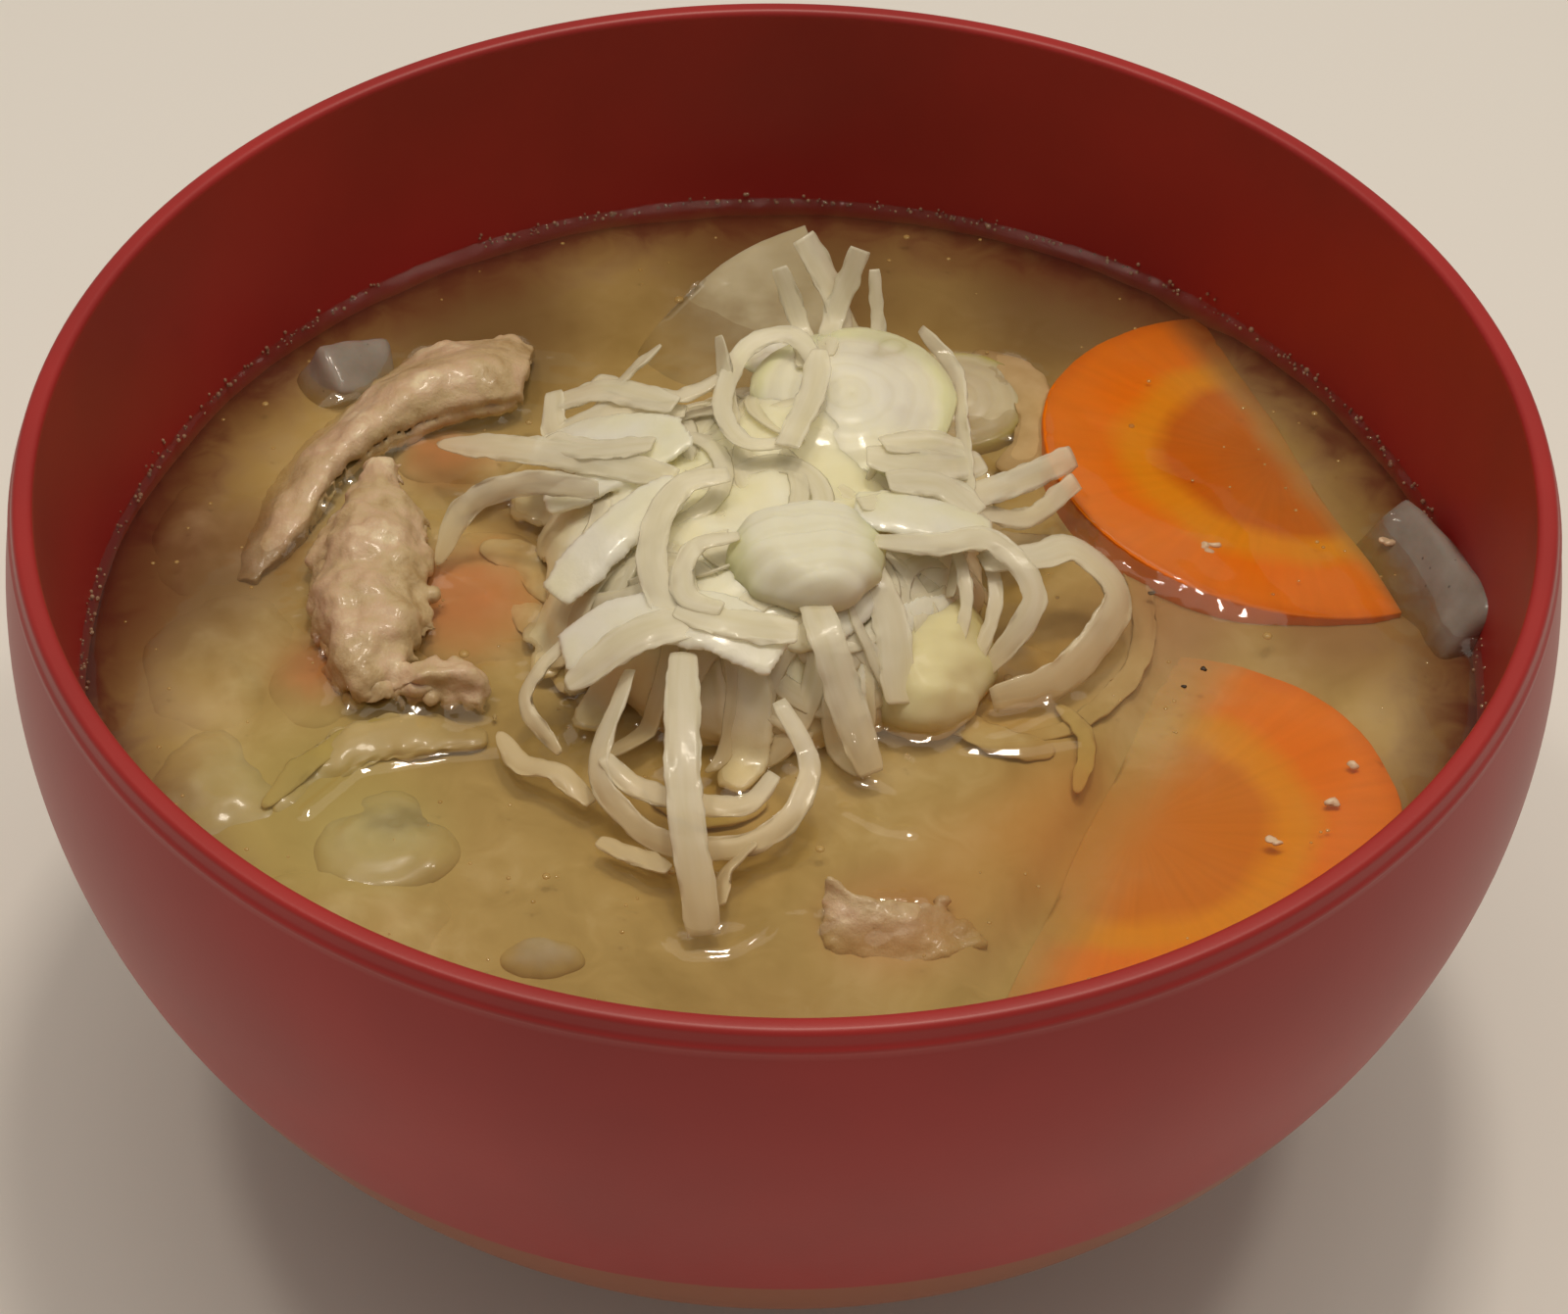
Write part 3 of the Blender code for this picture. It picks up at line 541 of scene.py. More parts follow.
def carrotMaterial(name, shape):
    # Boiled carrot, cut with a knife: moist orange flesh, a paler ring round a darker woody core, fine rays across
    material, tree, shader = newMaterial(name, {
        "Roughness": 0.35, "IOR": 1.35, "Specular IOR Level": 0.3, "Subsurface Weight": 0.2,
        "Subsurface Scale": 1.5 * mm, "Subsurface Radius": (1.0, 0.4, 0.05)})
    place = addNode(tree, "ShaderNodeTexCoord").outputs["Object"]
    centre = Vector(shape["centre"]) * mm
    local = addNode(tree, "ShaderNodeMapping", {"Location": -centre}, {0: place})
    warp = addNode(tree, "ShaderNodeTexNoise", {"Scale": 1 / (7 * mm), "Detail": 3.0}, {"Vector": place})
    parts = addNode(tree, "ShaderNodeSeparateXYZ", links={0: local.outputs[0]})
    flat = addNode(tree, "ShaderNodeCombineXYZ", links={0: parts.outputs["X"], 1: parts.outputs["Y"]})
    radius = addNode(tree, "ShaderNodeVectorMath", {"operation": "LENGTH"}, {0: flat.outputs[0]})
    sway = addNode(tree, "ShaderNodeMapRange", {3: -1.3 * mm, 4: 1.3 * mm}, {0: warp.outputs["Fac"]})
    reach = addNode(tree, "ShaderNodeMath", {"operation": "ADD"}, {0: radius.outputs["Value"], 1: sway.outputs[0]})
    share = addNode(tree, "ShaderNodeMath", {"operation": "DIVIDE", 1: shape["radius"] * mm}, {0: reach.outputs[0]})
    bands = addNode(tree, "ShaderNodeValToRGB", {"stops": [
        (0.0, shape["heart"]), (0.36, shape["core"]), (0.46, shape["core"]),
        (0.55, carrotColours["ring"]), (0.62, carrotColours["ring"]), (0.72, carrotColours["flesh"]),
        (0.93, carrotColours["flesh"]), (1.0, carrotColours["edge"])]}, {0: share.outputs[0]})
    # Rays run outward from the core, about 3 degrees apart
    angle = addNode(tree, "ShaderNodeMath", {"operation": "ARCTAN2"}, {0: parts.outputs["Y"], 1: parts.outputs["X"]})
    rays = addNode(tree, "ShaderNodeCombineXYZ", links={0: angle.outputs[0], 1: share.outputs[0]})
    stretch = addNode(tree, "ShaderNodeMapping", {"Scale": (16.0, 1.6, 1.0)}, {0: rays.outputs[0]})
    streak = addNode(tree, "ShaderNodeTexNoise", {"Scale": 1.0, "Detail": 3.0}, {"Vector": stretch.outputs[0]})
    light = addNode(tree, "ShaderNodeMapRange", {3: 0.86, 4: 1.1}, {0: streak.outputs["Fac"]})
    rayed = addNode(tree, "ShaderNodeMix", {"data_type": "RGBA", "blend_type": "MULTIPLY", 0: 1.0},
                    {6: bands.outputs[0], 7: light.outputs[0]})
    # Towards its cut the slice dips and the broth veils it
    turned = addNode(tree, "ShaderNodeMapping", {"Rotation": (0, 0, -math.radians(shape["yaw"]))}, {0: local.outputs[0]})
    across = addNode(tree, "ShaderNodeSeparateXYZ", links={0: turned.outputs[0]}).outputs["X"]
    swayed = addNode(tree, "ShaderNodeMath", {"operation": "ADD"}, {0: across, 1: sway.outputs[0]})
    veil = addNode(tree, "ShaderNodeMapRange", {"interpolation_type": "SMOOTHSTEP", 1: (shape["cut"][1] - shape["veil"][0]) * mm, 2: shape["cut"][1] * mm,
                   3: 0.0, 4: shape["veil"][1]}, {0: swayed.outputs[0]})
    veiled = addNode(tree, "ShaderNodeMix", {"data_type": "RGBA"},
                     {0: veil.outputs[0], 6: rayed.outputs[2], 7: brothClouds(tree)})
    faded = fadeIntoBroth(tree, veiled.outputs[2], shape["clear"], shape["cloudy"])
    tree.links.new(faded, shader.inputs["Base Color"])
    grain = addNode(tree, "ShaderNodeTexNoise", {"Scale": 1 / (1.1 * mm), "Detail": 4.0}, {"Vector": place})
    bump = addNode(tree, "ShaderNodeBump", {"Strength": 0.25, "Distance": 0.2 * mm}, {"Height": grain.outputs["Fac"]})
    tree.links.new(bump.outputs[0], shader.inputs["Normal"])
    return material


def sliceMesh(radius, thick, cuts, edge, matrix, cell=1.0):
    # A round slice cut by upright planes, each a direction and a distance from the centre, with softened edges and faces fine enough to undulate
    bm = bmesh.new()
    bmesh.ops.create_grid(bm, x_segments=round(2 * radius / cell), y_segments=round(2 * radius / cell), size=radius)
    bmesh.ops.delete(bm, geom=[v for v in bm.verts if v.co.xy.length > radius + cell * 1.5], context="VERTS")
    cutter = [(Vector((math.cos(a), math.sin(a), 0)) * radius, Vector((math.cos(a), math.sin(a), 0)))
              for a in np.linspace(0, math.tau, 73)[:-1]]
    for turn, out in cuts:
        normal = Vector((math.cos(math.radians(turn)), math.sin(math.radians(turn)), 0))
        cutter.append((normal * out, normal))
    for point, normal in cutter:
        bmesh.ops.bisect_plane(bm, geom=bm.verts[:] + bm.edges[:] + bm.faces[:], dist=0.02, plane_co=point,
                               plane_no=normal, clear_outer=True)
    bmesh.ops.remove_doubles(bm, verts=bm.verts, dist=0.08)
    bottom = bmesh.ops.extrude_face_region(bm, geom=bm.faces[:])
    moved = [item for item in bottom["geom"] if isinstance(item, bmesh.types.BMVert)]
    bmesh.ops.translate(bm, vec=(0, 0, -thick), verts=moved)
    bmesh.ops.recalc_face_normals(bm, faces=bm.faces)
    rims = [e for e in bm.edges if e.is_manifold and e.calc_face_angle(0.0) > 0.7]
    bmesh.ops.bevel(bm, geom=rims, offset=edge, offset_type="OFFSET", segments=3, profile=0.5, affect="EDGES",
                    material=-1, clamp_overlap=True)
    bm.transform(matrix)
    return bm


def buildCarrots():
    made = []
    for side in ("back", "front"):
        shape = carrotShape[side]
        matrix = slopeMatrix(shape["centre"], shape["yaw"], shape["slope"])
        bm = sliceMesh(shape["radius"], carrotShape["thick"], (shape["cut"],), carrotShape["edge"], matrix)
        roughen(bm, [(9.0, 0.35), (3.0, 0.10)], seed=shape["radius"])
        material = carrotMaterial("boiled carrot, cut face " + side, shape)
        made.append(makePiece("carrotSlice_" + side, bm, material, ["carrot_slice_" + side]))
    return made


daikonShape = {"radius": 25.8, "centre": (10.3, 26.6, 47.1), "yaw": 142.5, "slope": (0.106, 0.164), "thick": 4.0,
               "half": 32.5}


def daikonMaterial():
    # Simmered daikon: glassy pale flesh that has taken up the broth, with a faint fibre ring near its skin
    material, tree, shader = newMaterial("simmered daikon, broth-stained", {
        "Roughness": 0.3, "IOR": 1.4, "Subsurface Weight": 0.35, "Subsurface Scale": 3 * mm,
        "Subsurface Radius": (1.0, 0.8, 0.45), "Alpha": 0.8})
    place = addNode(tree, "ShaderNodeTexCoord").outputs["Object"]
    cloud = addNode(tree, "ShaderNodeTexNoise", {"Scale": 1 / (8 * mm), "Detail": 4.0}, {"Vector": place})
    tone = addNode(tree, "ShaderNodeValToRGB", {"stops": [(0.35, "#bdae87"), (0.65, "#d6caa6")]},
                   {0: cloud.outputs["Fac"]})
    tree.links.new(fadeIntoBroth(tree, tone.outputs[0], -1.2, 1.4, 0.05), shader.inputs["Base Color"])
    return material


def buildDaikon():
    shape = daikonShape
    matrix = slopeMatrix(shape["centre"], shape["yaw"], shape["slope"])
    cuts = ((90 + shape["half"], 0.0), (-90 - shape["half"], 0.0))
    bm = sliceMesh(shape["radius"], shape["thick"], cuts, 1.2, matrix)
    roughen(bm, [(10.0, 0.4), (3.0, 0.1)])
    return makePiece("daikonSlice", bm, daikonMaterial(), ["daikon_slice"])


# --- konnyaku ---
konnyakuShape = {"right": {"size": (16.0, 2.6, 8.4), "centre": (53.9, 7.2, 46.3), "turn": (-70.0, -4.0, -42.0)},
                 "left": {"size": (7.4, 5.4, 6.0), "centre": (-38.9, 31.6, 46.0), "turn": (35.0, 18.0, 24.0)}}


def konnyakuMaterial():
    # Konnyaku: a grey-violet jelly, torn and boiled, dense and glossy with tiny dark seaweed flecks
    material, tree, shader = newMaterial("grey konnyaku jelly", {
        "Roughness": 0.18, "IOR": 1.38, "Subsurface Weight": 0.3, "Subsurface Scale": 3 * mm,
        "Coat Weight": 0.5, "Coat Roughness": 0.08, "Alpha": 0.75})
    place = addNode(tree, "ShaderNodeTexCoord").outputs["Object"]
    cloud = addNode(tree, "ShaderNodeTexNoise", {"Scale": 1 / (5 * mm), "Detail": 4.0}, {"Vector": place})
    tone = addNode(tree, "ShaderNodeValToRGB", {"stops": [(0.3, "#948a7e"), (0.7, "#b5aca2")]},
                   {0: cloud.outputs["Fac"]})
    flecks = addNode(tree, "ShaderNodeTexVoronoi", {"Scale": 1 / (1.4 * mm)}, {"Vector": place})
    dark = addNode(tree, "ShaderNodeMapRange", {1: 0.06, 2: 0.12, 3: 0.55, 4: 0.0}, {0: flecks.outputs["Distance"]})
    flecked = addNode(tree, "ShaderNodeMix", {"data_type": "RGBA", 7: srgb("#3c342c")},
                      {0: dark.outputs[0], 6: tone.outputs[0]})
    tree.links.new(fadeIntoBroth(tree, flecked.outputs[2], -0.6, 1.5), shader.inputs["Base Color"])
    dents = addNode(tree, "ShaderNodeTexNoise", {"Scale": 1 / (2.2 * mm), "Detail": 3.0}, {"Vector": place})
    bump = addNode(tree, "ShaderNodeBump", {"Strength": 0.4, "Distance": 0.3 * mm}, {"Height": dents.outputs["Fac"]})
    tree.links.new(bump.outputs[0], shader.inputs["Normal"])
    return material


def buildKonnyaku():
    material = konnyakuMaterial()
    made = []
    for side, shape in konnyakuShape.items():
        bm = bmesh.new()
        bmesh.ops.create_cube(bm, size=1.0)
        bmesh.ops.scale(bm, vec=shape["size"], verts=bm.verts)
        bmesh.ops.bevel(bm, geom=bm.edges[:], offset=0.7, offset_type="OFFSET", segments=3, profile=0.5,
                        affect="EDGES", material=-1, clamp_overlap=True)
        bmesh.ops.subdivide_edges(bm, edges=[e for e in bm.edges if e.calc_length() > 1.2], cuts=7, use_grid_fill=True)
        yaw, pitch, lean = (math.radians(a) for a in shape["turn"])
        bm.transform(Matrix.Translation(shape["centre"]) @ Matrix.Rotation(yaw, 4, "Z")
                     @ Matrix.Rotation(pitch, 4, "Y") @ Matrix.Rotation(lean, 4, "X"))
        roughen(bm, [(6.0, 1.1), (2.6, 0.4)], seed=shape["size"][0])
        bmesh.ops.smooth_vert(bm, verts=bm.verts, factor=0.5, use_axis_x=True, use_axis_y=True, use_axis_z=True)
        made.append(makePiece("konnyaku_" + side + "Piece", bm, material, ["konnyaku_" + side]))
    return made


# --- pork ---
porkShape = {  # rows of points across each slice, from one end to the other
    "fold": {"thick": 1.3, "frill": 0.5, "curds": 0, "rough": ((5.0, 0.5), (2.0, 0.25), (0.9, 0.1)), "sheets": ((
        ((-22.5, 34.8, 48.2), (-22.8, 30.4, 49.6), (-23.3, 27.1, 49.2), (-23.1, 27.0, 48.4)),
        ((-24.8, 36.0, 48.4), (-24.9, 29.9, 50.6), (-25.5, 25.8, 49.6), (-25.4, 26.4, 48.4)),
        ((-28.2, 35.1, 48.6), (-27.9, 28.3, 51.4), (-28.6, 24.7, 49.8), (-28.2, 25.7, 48.2)),
        ((-31.5, 34.6, 48.2), (-30.6, 27.2, 51.6), (-31.7, 23.3, 49.8), (-31.0, 24.3, 48.2)),
        ((-35.1, 32.9, 47.2), (-33.4, 25.5, 51.2), (-34.4, 21.1, 49.8), (-33.6, 22.4, 48.0)),
        ((-38.6, 28.6, 46.6), (-36.2, 23.0, 50.6), (-36.9, 18.7, 49.6), (-36.1, 20.0, 48.0)),
        ((-41.6, 24.0, 46.2), (-38.8, 19.8, 49.9), (-38.5, 16.3, 49.2), (-37.9, 17.6, 47.6)),
        ((-43.9, 19.0, 46.0), (-41.0, 16.3, 49.1), (-39.6, 13.4, 48.6), (-39.2, 15.0, 47.2)),
        ((-45.7, 13.6, 45.8), (-42.8, 12.1, 48.4), (-41.0, 10.3, 48.0), (-40.7, 11.7, 46.8)),
        ((-46.7, 9.1, 45.8), (-44.4, 8.0, 47.6), (-42.5, 7.3, 47.4), (-42.4, 8.4, 46.6)),
        ((-46.7, 5.7, 45.6), (-45.4, 5.2, 46.8), (-44.1, 5.0, 46.8), (-43.9, 5.9, 46.2))),)},
    "crumpled": {"thick": 1.2, "frill": 0.7, "curds": 9, "rough": ((3.6, 0.9), (1.7, 0.45), (0.9, 0.16)),
                 "sheets": ((
        ((-36.1, 17.6, 49.2), (-35.3, 16.8, 50.4), (-34.4, 16.6, 50.8), (-33.6, 16.9, 50.4), (-33.1, 17.0, 49.4)),
        ((-36.6, 14.4, 49.4), (-35.5, 13.8, 50.6), (-34.3, 13.4, 51.0), (-33.2, 13.6, 50.4), (-32.3, 13.7, 49.2)),
        ((-38.5, 11.2, 48.6), (-36.7, 11.1, 50.6), (-34.3, 10.5, 51.4), (-32.1, 11.0, 51.0), (-30.6, 11.8, 49.0)),
        ((-39.6, 7.3, 48.2), (-37.5, 6.0, 50.8), (-34.6, 5.6, 51.6), (-31.6, 6.2, 51.0), (-29.6, 7.2, 48.8)),
        ((-39.5, 3.2, 48.0), (-37.3, 1.2, 50.8), (-34.5, 0.7, 51.6), (-31.5, 0.9, 51.0), (-29.3, 2.1, 48.6)),
        ((-38.6, -1.0, 48.0), (-36.6, -2.7, 50.6), (-34.0, -3.1, 51.2), (-31.1, -3.0, 50.8), (-29.0, -1.6, 48.6)),
        ((-37.4, -4.7, 47.8), (-35.5, -6.2, 50.2), (-33.4, -6.5, 50.8), (-31.6, -5.8, 50.2), (-29.9, -4.6, 48.4)),
        ((-36.2, -7.4, 47.4), (-34.6, -8.9, 49.6), (-33.0, -9.3, 50.0), (-31.8, -8.6, 49.6), (-30.7, -7.4, 48.2)),
        ((-35.0, -8.8, 46.8), (-34.0, -10.1, 48.4), (-32.6, -10.5, 48.8), (-31.6, -9.7, 48.2), (-31.0, -8.4, 47.4))), (
        ((-31.7, -8.5, 48.2), (-31.3, -9.4, 48.6), (-31.1, -9.3, 47.6)),
        ((-30.2, -7.9, 49.4), (-29.6, -9.8, 50.2), (-29.4, -9.8, 48.2)),
        ((-28.0, -6.7, 49.6), (-27.6, -9.1, 50.6), (-27.4, -9.7, 48.4)),
        ((-25.8, -6.4, 49.4), (-25.5, -8.6, 50.2), (-25.3, -10.1, 48.4)),
        ((-24.2, -7.4, 48.8), (-24.1, -8.9, 49.2), (-24.2, -10.4, 48.0)),
        ((-23.5, -8.6, 48.0), (-23.6, -9.2, 48.2), (-23.8, -9.7, 47.6))))},
    "tip": {"thick": 0.8, "frill": 0.6, "curds": 3, "rough": ((3.0, 0.4), (1.1, 0.2), (0.6, 0.1)), "sheets": ((
        ((3.9, -29.2, 49.6), (4.2, -29.4, 49.6), (4.7, -29.5, 49.0)),
        ((3.6, -29.8, 48.8), (5.1, -30.1, 49.2), (6.5, -30.3, 48.6)),
        ((3.4, -30.9, 47.8), (5.9, -30.9, 49.0), (8.4, -30.5, 48.2)),
        ((3.4, -32.5, 47.0), (6.9, -31.5, 48.6), (10.3, -30.2, 47.8)),
        ((4.3, -33.7, 46.4), (8.4, -32.3, 48.0), (12.2, -30.2, 47.2)),
        ((6.6, -34.5, 46.0), (10.6, -32.9, 47.2), (14.4, -31.1, 46.6)),
        ((10.3, -35.4, 45.8), (13.3, -34.1, 46.4), (16.3, -32.7, 46.0))),)}}
porkColours = {"lean": "#cdb58a", "pale": "#ecdbb4", "rosy": "#d6b896", "dark": "#b4976a"}


def porkMaterial():
    # Thin-sliced pork, boiled: matt grey-pink protein with a fine curdled grain, glossy where broth clings
    material, tree, shader = newMaterial("boiled thin-sliced pork", {
        "Roughness": 0.42, "IOR": 1.4, "Subsurface Weight": 0.15, "Subsurface Scale": 1.2 * mm,
        "Subsurface Radius": (1.0, 0.75, 0.5), "Coat Weight": 0.25, "Coat Roughness": 0.12})
    place = addNode(tree, "ShaderNodeTexCoord").outputs["Object"]
    cloud = addNode(tree, "ShaderNodeTexNoise", {"Scale": 1 / (4.5 * mm), "Detail": 5.0, "Roughness": 0.6},
                    {"Vector": place})
    tone = addNode(tree, "ShaderNodeValToRGB", {"stops": [
        (0.32, porkColours["dark"]), (0.44, porkColours["lean"]), (0.56, porkColours["rosy"]),
        (0.7, porkColours["pale"])]}, {0: cloud.outputs["Fac"]})
    tree.links.new(fadeIntoBroth(tree, tone.outputs[0], -1.0, 0.9), shader.inputs["Base Color"])
    curds = addNode(tree, "ShaderNodeTexNoise", {"Scale": 1 / (0.7 * mm), "Detail": 4.0, "Roughness": 0.65},
                    {"Vector": place})
    bump = addNode(tree, "ShaderNodeBump", {"Strength": 0.6, "Distance": 0.25 * mm}, {"Height": curds.outputs["Fac"]})
    tree.links.new(bump.outputs[0], shader.inputs["Normal"])
    return material


def oneSkin(bm, cell):
    # Joins overlapping lumps into a single skin of evenly spaced faces
    mesh = bpy.data.meshes.new("lumps")
    bm.to_mesh(mesh)
    bm.free()
    lump = bpy.data.objects.new("lumps", mesh)
    bpy.context.scene.collection.objects.link(lump)
    remesh = lump.modifiers.new("one skin", "REMESH")
    remesh.mode = "VOXEL"
    remesh.voxel_size = cell
    bpy.context.view_layer.update()
    joined = bpy.data.meshes.new_from_object(lump.evaluated_get(bpy.context.evaluated_depsgraph_get()))
    bpy.data.objects.remove(lump)
    bm = bmesh.new()
    bm.from_mesh(joined)
    bpy.data.meshes.remove(joined)
    return bm


def buildPork():
    material = porkMaterial()
    made = []
    for number, (name, shape) in enumerate(porkShape.items()):
        bm = bmesh.new()
        dice = random.Random(number + 3)
        curds = []
        for rows in shape["sheets"]:
            addMesh(bm, sheetMesh(rows, 110, 26, shape["thick"], shape["frill"], number * 17.0))
            # Curdled lumps sit on the slice and hang at its torn edges
            for lump in range(round(shape["curds"] * len(rows) / 10)):
                row = rows[dice.randrange(len(rows))]
                spot = Vector(row[dice.choice((0, -1, -1, dice.randrange(len(row))))])
                spot += Vector((dice.uniform(-0.9, 0.9), dice.uniform(-0.9, 0.9), dice.uniform(-0.9, 0.0)))
                size = dice.uniform(0.4, 0.8)
                curds.append((spot, (size, size * dice.uniform(0.7, 1.3), size * 0.8)))
        scatterCopies(bm, beadShape(12, 8), curds)
        bm = oneSkin(bm, 0.28)
        roughen(bm, shape["rough"], seed=number * 5.3)
        bmesh.ops.smooth_vert(bm, verts=bm.verts, factor=0.4, use_axis_x=True, use_axis_y=True, use_axis_z=True)
        made.append(makePiece("pork_" + name + "Piece", bm, material, ["pork_" + name]))
    return made


# --- leek ---
leekColours = {"white": "#faf4dc", "cream": "#f0e8c6", "pale": "#f2ecc4", "soaked": "#e2ca92"}


def leekMaterial(name, light, dark, weight=0.45, alpha=1.0):
    # Raw shredded leek: wet, crisp and translucent, with fine parallel veins along each shred
    material, tree, shader = newMaterial(name, {
        "Roughness": 0.34, "IOR": 1.4, "Subsurface Weight": weight, "Subsurface Scale": 1.2 * mm,
        "Subsurface Radius": (1.0, 0.92, 0.7), "Coat Weight": 0.25, "Coat Roughness": 0.08, "Alpha": alpha})
    place = addNode(tree, "ShaderNodeTexCoord")
    # Veins lie about 0.35 mm apart across a shred and run its whole length
    veins = addNode(tree, "ShaderNodeMapping", {"Scale": (0.06, 1.4, 1.0)}, {0: place.outputs["UV"]})
    streak = addNode(tree, "ShaderNodeTexNoise", {"Scale": 1.6, "Detail": 3.0}, {"Vector": veins.outputs[0]})
    tone = addNode(tree, "ShaderNodeValToRGB", {"stops": [(0.3, dark), (0.62, light)]}, {0: streak.outputs["Fac"]})
    # Shreds near the soup have soaked up broth
    parts = addNode(tree, "ShaderNodeSeparateXYZ", links={0: place.outputs["Object"]})
    soak = addNode(tree, "ShaderNodeMapRange", {"interpolation_type": "SMOOTHSTEP", 1: 54.0 * mm, 2: 47.5 * mm,
                   3: 0.0, 4: 0.75}, {0: parts.outputs["Z"]})
    soaked = addNode(tree, "ShaderNodeMix", {"data_type": "RGBA", 7: srgb(leekColours["soaked"])},
                     {0: soak.outputs[0], 6: tone.outputs[0]})
    tree.links.new(fadeIntoBroth(tree, soaked.outputs[2], -0.8, 1.5), shader.inputs["Base Color"])
    bump = addNode(tree, "ShaderNodeBump", {"Strength": 0.35, "Distance": 0.12 * mm}, {"Height": streak.outputs["Fac"]})
    tree.links.new(bump.outputs[0], shader.inputs["Normal"])
    return material


